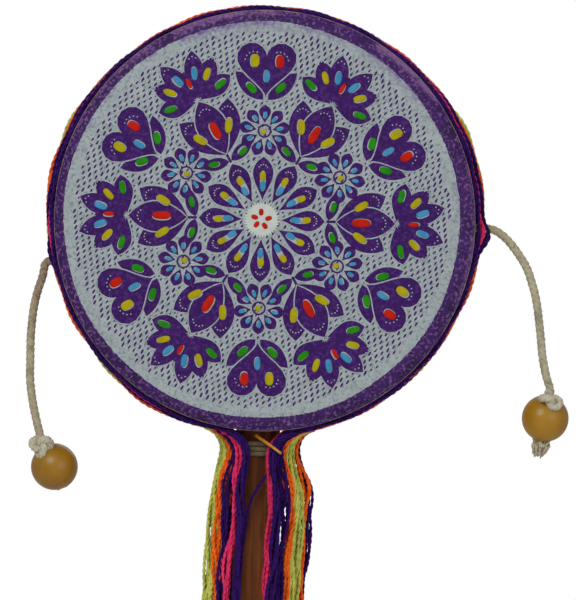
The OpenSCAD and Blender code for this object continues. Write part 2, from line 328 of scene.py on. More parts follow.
def mottle_group() -> Tree:
    """Make the group that varies a colour in soft patches."""
    w, given = new_group(
        "Mottle",
        "Shader",
        {"Base": "Color", "Patch": "Color", "Scale": "Float", "Amount": "Float"},
        {"Colour": "Color", "Mask": "Float"},
    )
    mask = w.between(w.noise(w.place(), given["Scale"], detail=4.0), low=0.38, high=0.66)
    shown = w.product(mask, given["Amount"])
    colour = w.mixed(shown, given["Base"], given["Patch"])
    w.add("NodeGroupOutput", {"Colour": colour, "Mask": mask})
    return w.tree


def grain_group() -> Tree:
    """Make the group that draws streaks along the grain of wood."""
    w, given = new_group(
        "Wood grain",
        "Shader",
        {"Light": "Color", "Dark": "Color", "Stretch": "Vector", "Pores": "Float"},
        {"Colour": "Color", "Height": "Float"},
    )
    fineness = 3.7
    drawn = w.vector("MULTIPLY", w.place(), given["Stretch"])
    wide = w.noise(drawn, 1.0, detail=5.0, distortion=0.3)
    fine = w.noise(w.times(drawn, fineness), 1.0, detail=3.0)
    bands = w.between(wide, low=0.32, high=0.7)
    pores = w.product(w.between(fine, low=0.52, high=0.68), given["Pores"])
    both = w.maths("MAXIMUM", bands, pores)
    colour = w.mixed(both, given["Light"], given["Dark"])
    w.add("NodeGroupOutput", {"Colour": colour, "Height": w.maths("SUBTRACT", 1.0, both)})
    return w.tree


def fibre_group() -> Tree:
    """Make the group that gives thread its fine fibres and lighter fluff."""
    w, given = new_group(
        "Fibres",
        "Shader",
        {"Base": "Color", "Deep": "Color", "Fluff": "Color"},
        {"Colour": "Color", "Height": "Float"},
    )
    wide_scale, fine_scale = 420.0, 3200.0
    where = w.place()
    fine = w.noise(where, fine_scale, detail=2.0)
    deep = w.between(w.noise(where, wide_scale, detail=3.0), low=0.42, high=0.72)
    fluff = w.between(fine, low=0.54, high=0.74)
    colour = w.mixed(fluff, w.mixed(deep, given["Base"], given["Deep"]), given["Fluff"])
    w.add("NodeGroupOutput", {"Colour": colour, "Height": fine})
    return w.tree


def rim_group() -> Tree:
    """Make the group that finds the drum's rim, its wear and its painted highlight.

    Its distance is from the drum's axis, in metres. The mask is strongest at the top
    right, where it marks wear and, on the hide, a painted highlight on the rim's bend.
    """
    w, given = new_group(
        "Rim wear and highlight",
        "Shader",
        {"Inner": "Float", "Outer": "Float", "Scale": "Float", "Amount": "Float"},
        {"Distance": "Float", "Mask": "Float"},
    )
    # The way to the top right, where the wear and the painted highlight are strongest
    wear_and_highlight_way = (0.5, 0.0, 0.87)
    patch_scale, least_wear_and_highlight, speck_weight = 75.0, 0.35, 2.0
    where = w.place()
    from_axis = w.vector("SUBTRACT", where, (0.0, 0.0, DRUM.middle * MM))
    flat = w.vector("MULTIPLY", from_axis, (1.0, 0.0, 1.0))
    distance = w.measure("LENGTH", flat)
    toward = w.measure("DOT_PRODUCT", w.vector("NORMALIZE", flat), wear_and_highlight_way)
    near = w.between(distance, given["Inner"], given["Outer"])
    patch = w.between(w.noise(where, patch_scale, detail=2.0), low=0.3, high=0.52)
    most = w.maths("ADD", w.between(toward, low=-0.2, high=1.0), least_wear_and_highlight)
    held = w.product(most, w.product(near, patch))
    specks = w.product(w.noise(where, given["Scale"], detail=6.0), speck_weight)
    raised = w.maths("ADD", specks, w.product(held, given["Amount"]))
    mask = w.product(w.between(raised, low=1.25, high=2.1), near)
    w.add("NodeGroupOutput", {"Distance": distance, "Mask": mask})
    return w.tree


class Groups:
    """The shader groups, each made once."""

    def __init__(self) -> None:
        """Make all the groups."""
        self.mottle = mottle_group()
        self.grain = grain_group()
        self.fibres = fibre_group()
        self.rim = rim_group()


GROUPS = Groups()


# Finishes

def use_group(w: Wiring, group: Tree, **inputs: object) -> Sockets:
    """Place a shader group in a material with its own values, and return its outputs."""
    return w.add("ShaderNodeGroup", inputs, node_tree=group).outputs


def mottled(w: Wiring, base: Colour, patch: Colour, scale: float, amount: float) -> Sockets:
    """Vary a colour in patches of another, and return the colour and the patches' mask."""
    return use_group(w, GROUPS.mottle, Base=base, Patch=patch, Scale=scale, Amount=amount)


def rim_wear_and_highlight(w: Wiring, inner: float, outer: float, scale: float, amount: float) -> Sockets:
    """Find the rim's wear and painted highlight between two radii, and return the radius and their
    mask.
    """
    return use_group(
        w, GROUPS.rim, Inner=inner * MM, Outer=outer * MM, Scale=scale, Amount=amount
    )


def bump(w: Wiring, height: object, strength: float, depth: float) -> Socket:
    """Turn a height into a normal."""
    return w.made("ShaderNodeBump", {"Height": height, "Strength": strength, "Distance": depth * MM})


@dataclass(frozen=True)
class Finish:
    """A material that can be made: its name, and what goes into its shader."""

    name: str

    def inputs(self, w: Wiring) -> dict:
        """The value or socket for each input of the shader, by name."""
        raise NotImplementedError

    def make(self) -> Material:
        """Build the material."""
        material = bpy.data.materials.new(self.name)
        material.use_nodes = True
        w = Wiring(material.node_tree)
        w.fill(material.node_tree.nodes["Principled BSDF"], self.inputs(w))
        return material


@dataclass(frozen=True)
class HideFinish(Finish):
    """Dyed hide with a pebbled grain, with wear and a painted highlight along the rim's bend, its cut
    edge undyed.
    """

    dye: Shade
    deep: Shade
    wear_and_highlight: Shade
    cut: Shade
    pebble_scale: float = 1100.0
    crease_scale: float = 1000.0
    crease_share: float = 0.62
    patch_scale: float = 260.0
    patch_amount: float = 0.8
    # The next fields set the rim band that takes wear and a painted highlight.
    wear_amount: float = 0.85
    rub_and_highlight_share: float = 0.9
    least_cut: float = 0.25
    wear_from: float = 63.4
    wear_to: float = 66.2
    cut_from: float = 66.84
    cut_to: float = 66.9

    def inputs(self, w: Wiring) -> dict:
        """The shader's inputs, with wear, the painted highlight and the cut edge found by the rim's
        radius.
        """
        where = w.place()
        wear_and_highlight = paint(self.wear_and_highlight)
        pebble = w.made("ShaderNodeTexVoronoi", {"Vector": where, "Scale": self.pebble_scale})
        crease = w.noise(where, self.crease_scale, detail=4.0)
        dye, deep = paint(self.dye), paint(self.deep)
        patches = mottled(w, dye, deep, self.patch_scale, self.patch_amount)
        rim = rim_wear_and_highlight(w, self.wear_from, self.wear_to, self.crease_scale, self.wear_amount)
        creased = w.product(w.between(crease, low=0.52, high=0.68), self.crease_share)
        grainy = w.mixed(creased, patches["Colour"], wear_and_highlight)
        # On the rim the lilac is laid on as wear and as a painted highlight, strongest at the top
        # right.
        rubbed = w.mixed(w.product(rim["Mask"], self.rub_and_highlight_share), grainy, wear_and_highlight)
        edge = w.between(rim["Distance"], self.cut_from * MM, self.cut_to * MM)
        broken = w.product(edge, w.maths("ADD", patches["Mask"], self.least_cut))
        return {
            "Base Color": w.mixed(broken, rubbed, paint(self.cut)),
            "Roughness": 0.62,
            "Specular IOR Level": 0.22,
            "Normal": bump(w, w.maths("ADD", pebble, crease), strength=0.6, depth=0.2),
        }


@dataclass(frozen=True)
class InkFinish(Finish):
    """Printed ink or dabbed paint, thin and a little uneven."""

    colour: Shade
    thin: Shade
    amount: float = 0.5
    roughness: float = 0.55
    speck: Shade | None = None
    rubbed: Shade | None = None
    patch_scale: float = 420.0
    crease_scale: float = 1000.0
    speck_share: float = 0.7
    wear_scale: float = 820.0
    wear_amount: float = 0.7
    wear_from: float = 58.0
    wear_to: float = 63.2

    def inputs(self, w: Wiring) -> dict:
        """The shader's inputs, with specks and rubbed places where they have a colour."""
        shades = paint(self.colour), paint(self.thin)
        colour = mottled(w, *shades, self.patch_scale, self.amount)["Colour"]
        crease = w.noise(w.place(), self.crease_scale, detail=4.0)
        if self.speck:
            specked = w.product(w.between(crease, low=0.5, high=0.66), self.speck_share)
            colour = w.mixed(specked, colour, paint(self.speck))
        if self.rubbed:
            rim = rim_wear_and_highlight(w, self.wear_from, self.wear_to, self.wear_scale, self.wear_amount)
            colour = w.mixed(rim["Mask"], colour, paint(self.rubbed))
        return {
            "Base Color": colour,
            "Roughness": self.roughness,
            "Specular IOR Level": 0.1,
            "Normal": bump(w, crease, strength=0.5, depth=0.14),
        }


@dataclass(frozen=True)
class WoodFinish(Finish):
    """Wood with its grain, bare, stained or lacquered."""

    light: Shade
    dark: Shade
    stretch: Point3
    pores: float
    roughness: float
    coat: float = 0.0
    bare_depth: float = 0.12
    coated_depth: float = 0.004

    def inputs(self, w: Wiring) -> dict:
        """The shader's inputs, smoother and glossier where the wood is coated."""
        grain = use_group(
            w,
            GROUPS.grain,
            Light=paint(self.light),
            Dark=paint(self.dark),
            Stretch=self.stretch,
            Pores=self.pores,
        )
        depth = self.coated_depth if self.coat else self.bare_depth
        return {
            "Base Color": grain["Colour"],
            "Roughness": self.roughness,
            "Specular IOR Level": 0.3 if self.coat else 0.2,
            "Coat Weight": self.coat,
            "Coat Roughness": 0.16,
            "Normal": bump(w, grain["Height"], strength=0.35, depth=depth),
        }


@dataclass(frozen=True)
class FibreFinish(Finish):
    """Spun yarn, thread or cord. A tint fades along a cord from its start."""

    base: Shade
    deep: Shade
    fluff: Shade
    tint: Shade | None = None
    tint_length: float = 0.0
    tint_share: float = 0.55

    def inputs(self, w: Wiring) -> dict:
        """The shader's inputs."""
        fibres = use_group(
            w, GROUPS.fibres, Base=paint(self.base), Deep=paint(self.deep), Fluff=paint(self.fluff)
        )
        colour = fibres["Colour"]
        if self.tint:
            along = w.add("ShaderNodeAttribute", attribute_name="along").outputs["Fac"]
            fade = w.product(w.between(along, self.tint_length * MM, 0.0), self.tint_share)
            colour = w.mixed(fade, colour, paint(self.tint))
        return {
            "Base Color": colour,
            "Roughness": 0.9,
            "Specular IOR Level": 0.15,
            "Normal": bump(w, fibres["Height"], strength=0.6, depth=0.1),
        }


@dataclass(frozen=True)
class PlainFinish(Finish):
    """Plain steel, or the plain pale floor, in two linear greys."""

    base: Colour
    patch: Colour
    patch_scale: float
    amount: float
    metallic: float

    def inputs(self, w: Wiring) -> dict:
        """The shader's inputs. Metal is smoother in patches."""
        patches = mottled(w, self.base, self.patch, self.patch_scale, self.amount)
        smooth = w.between(patches["Mask"], low=-1.0, high=2.5) if self.metallic else 0.9
        return {"Base Color": patches["Colour"], "Roughness": smooth, "Metallic": self.metallic}


# The lilac third colour is wear and a painted highlight on the rim's bend; the fourth is the undyed
# cut edge.
HIDE = HideFinish("Dyed hide", (58, 21, 92), (34, 9, 60), (134, 96, 146), (160, 138, 114))

SILVER = InkFinish(
    "Silver print",
    (160, 169, 169),
    (142, 151, 154),
    amount=0.7,
    roughness=0.5,
    speck=(112, 122, 130),
    rubbed=(96, 62, 134),
)

DABS = {
    "yellow": ((170, 156, 4), (136, 128, 2)),
    "blue": ((66, 138, 178), (42, 108, 148)),
    "red": ((184, 26, 4), (146, 12, 4)),
    "green": ((34, 132, 6), (18, 100, 4)),
}

PALE_WOOD = WoodFinish("Pale wood", (206, 172, 122), (168, 130, 84), (90.0, 900.0, 90.0), 0.5, 0.65)
STAINED_WOOD = WoodFinish("Stained wood", (128, 70, 30), (70, 31, 8), (520.0, 520.0, 26.0), 0.8, 0.7)
LACQUERED_WOOD = WoodFinish(
    "Lacquered wood", (162, 118, 3), (134, 92, 1), (120.0, 120.0, 34.0), 0.25, 0.45, coat=0.26
)
STRAW = WoodFinish("Straw", (222, 150, 56), (178, 104, 30), (900.0, 900.0, 900.0), 0.4, 0.55)

COTTON = {
    Side.LEFT: FibreFinish(
        "Cotton cord left", (168, 158, 130), (128, 118, 92), (196, 188, 164), (128, 86, 80), 40.0
    ),
    Side.RIGHT: FibreFinish(
        "Cotton cord right", (174, 165, 140), (134, 126, 100), (198, 192, 172), (194, 184, 154), 52.0
    ),
}

YARN_SHADES = {
    YarnColour.PURPLE: ((46, 11, 92), (26, 3, 58), (68, 28, 118)),
    YarnColour.PINK: ((230, 48, 104), (178, 22, 70), (244, 96, 146)),
    YarnColour.ORANGE: ((250, 106, 22), (210, 76, 8), (252, 142, 66)),
    YarnColour.LIME: ((204, 208, 98), (164, 170, 62), (220, 222, 132)),
}

STEEL = PlainFinish("Pin steel", paint((196, 196, 192)), paint((150, 150, 148)), 900.0, 0.6, 1.0)
FLOOR = PlainFinish("Pale floor", (0.86, 0.86, 0.86, 1.0), (0.82, 0.82, 0.82, 1.0), 9.0, 0.5, 0.0)


class Finishes:
    """Every finish of the rattle, made once."""

    def __init__(self) -> None:
        """Build the materials."""
        self.hide = HIDE.make()
        self.silver = SILVER.make()
        self.pale_print = InkFinish("Pale print", (190, 198, 190), (170, 178, 172)).make()
        self.bare_hide = InkFinish(
            "Purple print", (56, 20, 90), (40, 11, 70), speck=(82, 46, 118)
        ).make()
        self.dabs = {
            name: InkFinish(f"{name.title()} dabs", *shades).make() for name, shades in DABS.items()
        }
        self.pale_wood = PALE_WOOD.make()
        self.stained_wood = STAINED_WOOD.make()
        self.lacquered_wood = LACQUERED_WOOD.make()
        self.straw = STRAW.make()
        self.steel = STEEL.make()
        self.thread = FibreFinish(
            "White thread", (118, 106, 82), (80, 69, 52), (140, 129, 105)
        ).make()
        self.knotted_cotton = FibreFinish(
            "Knotted cotton", (188, 181, 158), (146, 138, 112), (210, 204, 186)
        ).make()
        self.cotton = {side: finish.make() for side, finish in COTTON.items()}
        self.yarn = {
            colour: FibreFinish(f"{colour.value.title()} yarn", *shades).make()
            for colour, shades in YARN_SHADES.items()
        }


# Lines that cords and yarns follow

@dataclass
class Line:
    """A smooth line of points in metres, with a side to each and its length so far."""

    points: list[Vector]
    sides: list[Vector]
    along: list[float]

    @classmethod
    def through(cls, knots: Sequence[Vector], step: float, first_side: Vector) -> "Line":
        """Draw a line with even steps through points.

        Args:
            knots: the points in metres, close enough together to be joined straight.
            step: the distance between the new points.
            first_side: a direction across the start, which the other sides follow.

        Returns:
            The line.
        """
        lengths = lengths_along(knots)
        count = max(2, round(lengths[-1] / (step * MM)) + 1)
        points: list[Vector] = []
        place = 0
        for i in range(count):
            goal = lengths[-1] * i / (count - 1)
            while place < len(knots) - 2 and lengths[place + 1] < goal:
                place += 1
            span = lengths[place + 1] - lengths[place]
            share = (goal - lengths[place]) / span if span else 0.0
            points.append(knots[place].lerp(knots[place + 1], share))
        sides: list[Vector] = []
        side = first_side
        for i, _ in enumerate(points):
            heading = heading_at(points, i)
            side = (side - heading * side.dot(heading)).normalized()
            sides.append(side.copy())
        return cls(points, sides, lengths_along(points))

    def part(self, start: float, end: float) -> "Line":
        """Cut out the stretch between two lengths in metres, keeping its place along."""
        hair = 1e-7
        kept = [i for i, a in enumerate(self.along) if start - hair <= a <= end + hair]
        first, last = kept[0], kept[-1] + 1
        return Line(self.points[first:last], self.sides[first:last], self.along[first:last])

    def nearest(self, place: Vector) -> float:
        """The length along the line at the point nearest a place."""
        best = min(range(len(self.points)), key=lambda i: (self.points[i] - place).length)
        return self.along[best]

    @property
    def length(self) -> float:
        """The line's own length in metres."""
        return self.along[-1] - self.along[0]


def lengths_along(points: Sequence[Vector]) -> list[float]:
    """The length so far at each point of a line."""
    lengths = [0.0]
    for before, after in zip(points, points[1:]):
        lengths.append(lengths[-1] + (after - before).length)
    return lengths


def heading_at(points: Sequence[Vector], i: int) -> Vector:
    """The way a line heads at one of its points."""
    return (points[min(i + 1, len(points) - 1)] - points[max(i - 1, 0)]).normalized()


def rounded(points: Sequence[Vector], count: int = 8) -> list[Vector]:
    """Round off a line by a curve through all its points.

    Args:
        points: the points that the curve passes.
        count: how many new points there are for each stretch.

    Returns:
        The points of the curve.
    """
    ends = [points[0] * 2 - points[1], *points, points[-1] * 2 - points[-2]]
    curve: list[Vector] = []
    for a, b, c, d in zip(ends, ends[1:], ends[2:], ends[3:]):
        for i in range(count):
            t = i / count
            square = (2 * a - 5 * b + 4 * c - d) * t * t
            cube = (3 * b - a - 3 * c + d) * t ** 3
            curve.append(0.5 * (2 * b + (c - a) * t + square + cube))
    curve.append(points[-1].copy())
    return curve


def eased_step(share: float) -> float:
    """Go smoothly from 0 to 1 as a share does, held beyond them."""
    held = min(1.0, max(0.0, share))
    return held * held * (3 - 2 * held)


def eased(points: Sequence[Vector], rounds: int) -> list[Vector]:
    """Smooth a line by moving each inner point towards its neighbours."""
    line = [p.copy() for p in points]
    for _ in range(rounds):
        inner = [(a + 2 * b + c) / 4 for a, b, c in zip(line, line[1:], line[2:])]
        line = [line[0], *inner, line[-1]]
    return line


# Geometry Nodes

@dataclass(frozen=True)
class Lay:
    """How a cord is laid up: strands round its middle, each of several plies."""

    strands: int
    plies: int
    strand_offset: float
    ply_offset: float
    ply_radius: float
    strand_turn: float
    ply_turn: float
    sides: int = 6
    fluff: float = 0.0


WRAP_LAY = Lay(2, 2, 0.42, 0.27, 0.4, 34.0, 4.8, sides=5, fluff=0.06)
STRAND_LAY = Lay(1, 2, 0.0, 0.22, 0.34, 34.0, 4.2, fluff=0.12)
CORD_LAY = Lay(3, 1, 0.53, 0.0, 0.86, -5.7, 4.0, sides=12, fluff=0.16)
KNOT_LAY = Lay(3, 1, 0.46, 0.0, 0.87, -5.0, 4.0, sides=12, fluff=0.22)
TAIL_LAY = Lay(3, 1, 0.28, 0.0, 0.62, -3.6, 4.0, sides=10, fluff=0.3)
THREAD_LAY = Lay(1, 3, 0.0, 0.3, 0.52, 3.0, 4.2, sides=10, fluff=0.08)

FIBRE_LENGTH = 0.7
FIBRE_RADIUS = 0.03
FLUFF_SEED = 7

GEOMETRY = {"Geometry": "Geometry"}
FINISH = {"Finish": "Material"}


def laid_cord_tree(strands: int, plies: int) -> Tree:
    """Make the tree that winds plies into strands and strands into a cord along a line.

    Args:
        strands: how many strands the cord has.
        plies: how many plies each strand has.

    Returns:
        The geometry tree.
    """
    sizes = ("Strand offset", "Ply offset", "Ply radius", "Strand turn", "Ply turn")
    w, given = new_group(
        f"Laid cord {strands} by {plies}",
        "Geometry",
        {**GEOMETRY, **dict.fromkeys(sizes, "Float"), "Sides": "Int", **FINISH},
        GEOMETRY,
    )
    side = w.attribute("side", "FLOAT_VECTOR")
    along = w.attribute("along", "FLOAT")
    across = w.vector("CROSS_PRODUCT", w.made("GeometryNodeInputTangent"), side)
    line = w.made("GeometryNodeMeshToCurve", {"Mesh": given["Geometry"]})
    section = {"Resolution": given["Sides"], "Radius": given["Ply radius"]}
    profile = w.made("GeometryNodeCurvePrimitiveCircle", section)
    tubes = w.add("GeometryNodeJoinGeometry")

    def turned(turn: str, share: float) -> Socket:
        """The angle reached along the cord, from a share of a turn."""
        angle = w.product(w.maths("DIVIDE", along, given[turn]), TURN)
        return w.maths("ADD", angle, TURN * share)

    def reach(offset: str, angle: Socket) -> Socket:
        """The way out from the middle to an offset at an angle."""
        one = w.times(side, w.product(given[offset], w.maths("COSINE", angle)))
        two = w.times(across, w.product(given[offset], w.maths("SINE", angle)))
        return w.vector("ADD", one, two)

    for strand in range(strands):
        strand_way = reach("Strand offset", turned("Strand turn", strand / strands))
        for ply in range(plies):
            ply_way = reach("Ply offset", turned("Ply turn", ply / plies + strand / (2 * strands)))
            way = w.vector("ADD", strand_way, ply_way)
            shifted = w.made("GeometryNodeSetPosition", {"Geometry": line, "Offset": way})
            w.fill(tubes, {0: w.tube(shifted, profile)})
    smooth = w.made("GeometryNodeSetShadeSmooth", {"Geometry": tubes.outputs[0]})
    return w.hand_out(smooth, given["Finish"])


def fluff_tree() -> Tree:
    """Make the tree that grows short loose fibres on a yarn or cord."""
    sizes = ("Density", "Fibre length", "Fibre radius")
    w, given = new_group(
        "Fluff",
        "Geometry",
        {**GEOMETRY, **dict.fromkeys(sizes, "Float"), "Seed": "Int", **FINISH},
        GEOMETRY,
    )
    length = given["Fibre length"]
    sideways, bow_height, most_lean = 0.5, 0.6, 1.2
    roots = w.add(
        "GeometryNodeDistributePointsOnFaces",
        {"Mesh": given["Geometry"], "Density": given["Density"], "Seed": given["Seed"]},
    ).outputs
    bow = w.made(
        "GeometryNodeCurveQuadraticBezier",
        {
            "Resolution": 3,
            "Start": (0.0, 0.0, 0.0),
            "Middle": w.axes(Z=w.product(length, bow_height)),
            "End": w.axes(X=w.product(length, sideways), Z=length),
        },
    )
    section = {"Resolution": 3, "Radius": given["Fibre radius"]}
    fibre = w.tube(bow, w.made("GeometryNodeCurvePrimitiveCircle", section))
    lean = w.chance(given["Seed"], (-most_lean, -most_lean, 0.0), (most_lean, most_lean, TURN))
    turned = w.made(
        "FunctionNodeRotateRotation",
        {"Rotation": roots["Rotation"], "Rotate By": lean},
        rotation_space="LOCAL",
    )
    grown_fibres = w.made(
        "GeometryNodeInstanceOnPoints",
        {"Points": roots["Points"], "Instance": fibre, "Rotation": turned},
    )
    both = w.add("GeometryNodeJoinGeometry")
    for geometry in (grown_fibres, given["Geometry"]):
        w.fill(both, {0: geometry})
    return w.hand_out(both.outputs[0], given["Finish"])


def dash_tree() -> Tree:
    """Make the tree that fills a disc with rows of slanted dashes."""
    lengths = ("Radius", "Dash length", "Dash width", "Dash height", "Step", "Row", "Level")
    turns = ("Slip", "Row slant", "Dash slant")
    w, given = new_group(
        "Slanted dashes",
        "Geometry",
        {
            **GEOMETRY,
            **dict.fromkeys((*lengths, *turns), "Float"),
            "Middle": "Vector",
            "Count": "Int",
            "Seed": "Int",
            **FINISH,
        },
        GEOMETRY,
    )
    corners, half, most_turn, least_size, most_size = 8, 0.5, 0.16, 0.72, 1.08
    spaces = w.maths("SUBTRACT", given["Count"], 1.0)
    grid = w.made(
        "GeometryNodeMeshGrid",
        {
            "Size X": w.product(given["Step"], spaces),
            "Size Y": w.product(given["Row"], spaces),
            "Vertices X": given["Count"],
            "Vertices Y": given["Count"],
        },
    )
    split = w.add("ShaderNodeSeparateXYZ", {0: w.made("GeometryNodeInputPosition")}).outputs
    row = w.maths("ROUND", w.maths("DIVIDE", split["Y"], given["Row"]))
    slip = w.product(given["Step"], w.maths("FRACT", w.product(row, given["Slip"])))
    shifted = w.made("GeometryNodeSetPosition", {"Geometry": grid, "Offset": w.axes(X=slip)})
    rows = w.moved(shifted, Rotation=w.axes(Z=given["Row slant"]))
    out = w.measure("LENGTH", w.made("GeometryNodeInputPosition"))
    beyond = w.made("FunctionNodeCompare", {0: out, 1: given["Radius"]}, operation="GREATER_THAN")
    kept = w.made("GeometryNodeDeleteGeometry", {"Geometry": rows, "Selection": beyond})
    block = w.made(
        "GeometryNodeMeshCylinder",
        {"Vertices": corners, "Radius": half, "Depth": given["Dash height"]},
        fill_type="NGON",
    )
    dash = w.moved(block, Scale=w.axes(X=given["Dash length"], Y=given["Dash width"], Z=1.0))
    turn = w.maths("ADD", given["Dash slant"], w.chance(given["Seed"], -most_turn, most_turn))
    set_out = w.made(
        "GeometryNodeInstanceOnPoints",
        {
            "Points": kept,
            "Instance": dash,
            "Rotation": w.axes(Z=turn),
            "Scale": w.chance(given["Seed"], least_size, most_size),
        },
    )
    raised = w.moved(set_out, Translation=w.axes(Z=given["Level"]))
    upright = w.moved(raised, Translation=given["Middle"], Rotation=(math.pi / 2, 0.0, 0.0))
    return w.hand_out(upright, given["Finish"])


class Loom:
    """Runs the geometry trees, each made once, and hands back plain meshes."""

    def __init__(self) -> None:
        """Start with no tree made."""
        self.made: dict[str, Tree] = {}

    def tree(self, name: str, maker: Callable[[], Tree]) -> Tree:
        """Return a tree, making it the first time."""
        if name not in self.made:
            self.made[name] = maker()
        return self.made[name]

    def run(self, piece: Piece, tree: Tree, values: dict) -> Piece:
        """Run a tree on an object and turn the result into its plain mesh.

        Args:
            piece: the object to change.
            tree: the geometry tree.
            values: the value of each named input.

        Returns:
            The same object, with the finished mesh and no modifier.
        """
        modifier = piece.modifiers.new(tree.name, "NODES")
        modifier.node_group = tree
        for item in tree.interface.items_tree:
            if item.item_type == "SOCKET" and item.in_out == "INPUT" and item.name in values:
                modifier[item.identifier] = values[item.name]
        piece.update_tag()
        graph = bpy.context.evaluated_depsgraph_get()
        graph.update()
        mesh = bpy.data.meshes.new_from_object(
            piece.evaluated_get(graph), preserve_all_data_layers=True, depsgraph=graph
        )
        piece.modifiers.remove(modifier)
        old = piece.data
        piece.data = mesh
        bpy.data.meshes.remove(old)
        mesh.name = piece.name
        return piece

    def cord(self, name: str, lines: Sequence[Line], lay: Lay, finish: Material) -> Piece:
        """Lay up cords along lines as one object.

        Args:
            name: the object's name.
            lines: the lines that the cords follow.
            lay: how they are laid up.
            finish: their material.

        Returns:
            The object, as a plain mesh in its place.
        """
        piece = line_object(name, lines)
        tree = self.tree(
            f"cord {lay.strands} {lay.plies}", lambda: laid_cord_tree(lay.strands, lay.plies)
        )
        sizes = {
            "Strand offset": lay.strand_offset * MM,
            "Ply offset": lay.ply_offset * MM,
            "Ply radius": lay.ply_radius * MM,
            "Strand turn": lay.strand_turn * MM,
            "Ply turn": lay.ply_turn * MM,
        }
        self.run(piece, tree, {**sizes, "Sides": lay.sides, "Finish": finish})
        if lay.fluff:
            fluff = {
                "Density": lay.fluff / MM ** 2,
                "Fibre length": FIBRE_LENGTH * MM,
                "Fibre radius": FIBRE_RADIUS * MM,
                "Seed": FLUFF_SEED,
                "Finish": finish,
            }
            self.run(piece, self.tree("fluff", fluff_tree), fluff)
        return piece


# Objects

def placed(right: float, front: float, up: float) -> Vector:
    """A point in metres from its place, counted from the drum's middle."""
    return Vector((right, -front, DRUM.middle + up)) * MM


def add_object(name: str, mesh: bpy.types.Mesh) -> Piece:
    """Put a mesh in the scene as an object at the origin."""
    piece = bpy.data.objects.new(name, mesh)
    bpy.context.scene.collection.objects.link(piece)
    return piece


def line_object(name: str, lines: Sequence[Line]) -> Piece:
    """Make an object of edges along lines, with their sides and lengths as attributes."""
    points = [p for line in lines for p in line.points]
    edges: list[tuple[int, int]] = []
    first = 0
    for line in lines:
        edges.extend((first + i, first + i + 1) for i in range(len(line.points) - 1))
        first += len(line.points)
    mesh = bpy.data.meshes.new(name)
    mesh.from_pydata(points, edges, [])
    side = mesh.attributes.new("side", "FLOAT_VECTOR", "POINT")
    side.data.foreach_set("vector", [c for line in lines for s in line.sides for c in s])
    along = mesh.attributes.new("along", "FLOAT", "POINT")
    along.data.foreach_set("value", [a for line in lines for a in line.along])
    return add_object(name, mesh)


def mesh_object(name: str, work: bmesh.types.BMesh, finish: Material, smooth: bool) -> Piece:
    """Turn a worked mesh into an object with its faces outward.

    Args:
        name: the object's name.
        work: the mesh, which is freed.
        finish: its material.
        smooth: whether its faces are shaded smooth.

    Returns:
        The object.
    """
    bmesh.ops.recalc_face_normals(work, faces=work.faces)
    mesh = bpy.data.meshes.new(name)
    work.to_mesh(mesh)
    work.free()
    mesh.materials.append(finish)
    mesh.polygons.foreach_set("use_smooth", [smooth] * len(mesh.polygons))
    return add_object(name, mesh)


def add_wall(
    work: bmesh.types.BMesh,
    low: Sequence[bmesh.types.BMVert],
    high: Sequence[bmesh.types.BMVert],
) -> None:
    """Join two rings of points by a wall of faces."""
    for i, _ in enumerate(low):
        j = (i + 1) % len(low)
        work.faces.new((low[i], low[j], high[j], high[i]))


def add_tube(
    work: bmesh.types.BMesh, points: Sequence[Vector], radii: Sequence[float], sides: int
) -> None:
    """Add a closed round tube along points to a mesh.

    Args:
        work: the mesh.
        points: the tube's middle line in metres.
        radii: its radius in metres at each point.
        sides: how many sides it has.
    """
    across = Vector((0.3, 1.0, 0.2))
    rings = []
    for i, point in enumerate(points):
        heading = heading_at(points, i)
        across = (across - heading * across.dot(heading)).normalized()
        other = heading.cross(across)
        ring = []
        for k in range(sides):
            angle = TURN * k / sides
            out = math.cos(angle) * across + math.sin(angle) * other
            ring.append(work.verts.new(point + radii[i] * out))
        rings.append(ring)
    for low, high in zip(rings, rings[1:]):
        add_wall(work, low, high)
    work.faces.new(list(reversed(rings[0])))
    work.faces.new(rings[-1])


def dress(node: str, finish: Material) -> None:
    """Give a CAD node a finish in its own material slots."""
    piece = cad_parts[node]
    if not piece.material_slots:
        piece.data.materials.append(finish)
    for slot in piece.material_slots:
        slot.material = finish
    LOG.info("dressed %s with %s", node, finish.name)


def report(piece: Piece) -> Piece:
    """Log a finished piece and its triangles, and return it."""
    piece.data.calc_loop_triangles()
    LOG.info("made %s, %d triangles", piece.name, len(piece.data.loop_triangles))
    return piece


def settle(piece: Piece, body: str, slot: str, *nodes: str) -> Piece:
    """Let a piece ride on a body, hide the CAD nodes it replaces, and log it. The slot is not used."""
    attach(piece, body)
    if nodes:
        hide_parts(*nodes)
    return report(piece)


# Outlines of the print

def blade(length: float, width: float, belly: float, count: int = 10) -> list[Point2]:
    """Outline a leaf or petal that stands on the origin and points up.

    Args:
        length: its length.
        width: its greatest width.
        belly: above 1 the widest place is nearer the tip, below 1 nearer the base.
        count: how many points each edge has.

    Returns:
        The outline.
    """
    fullness = 0.8
    edge = []
    for i in range(1, count):
        share = i / count
        edge.append((width / 2 * math.sin(math.pi * share ** belly) ** fullness, length * share))
    return [(0.0, 0.0), *edge, (0.0, length), *((-x, y) for x, y in reversed(edge))]


def heart(size: float, count: int = 28) -> list[Point2]:
    """Outline a heart that stands on its tip, by the usual curve, which is 32 wide."""
    outline = []
    for i in range(count):
        t = TURN * (i + 0.5) / count
        x = 16 * math.sin(t) ** 3
        y = 13 * math.cos(t) - 5 * math.cos(2 * t) - 2 * math.cos(3 * t) - math.cos(4 * t)
        outline.append((-x * size / 32, (y + 17) * size / 32))
    return outline


def disc(radius: float, count: int = 24) -> list[Point2]:
    """Outline a disc round the origin."""
    angles = [TURN * i / count for i in range(count)]
    return [(radius * math.cos(angle), radius * math.sin(angle)) for angle in angles]


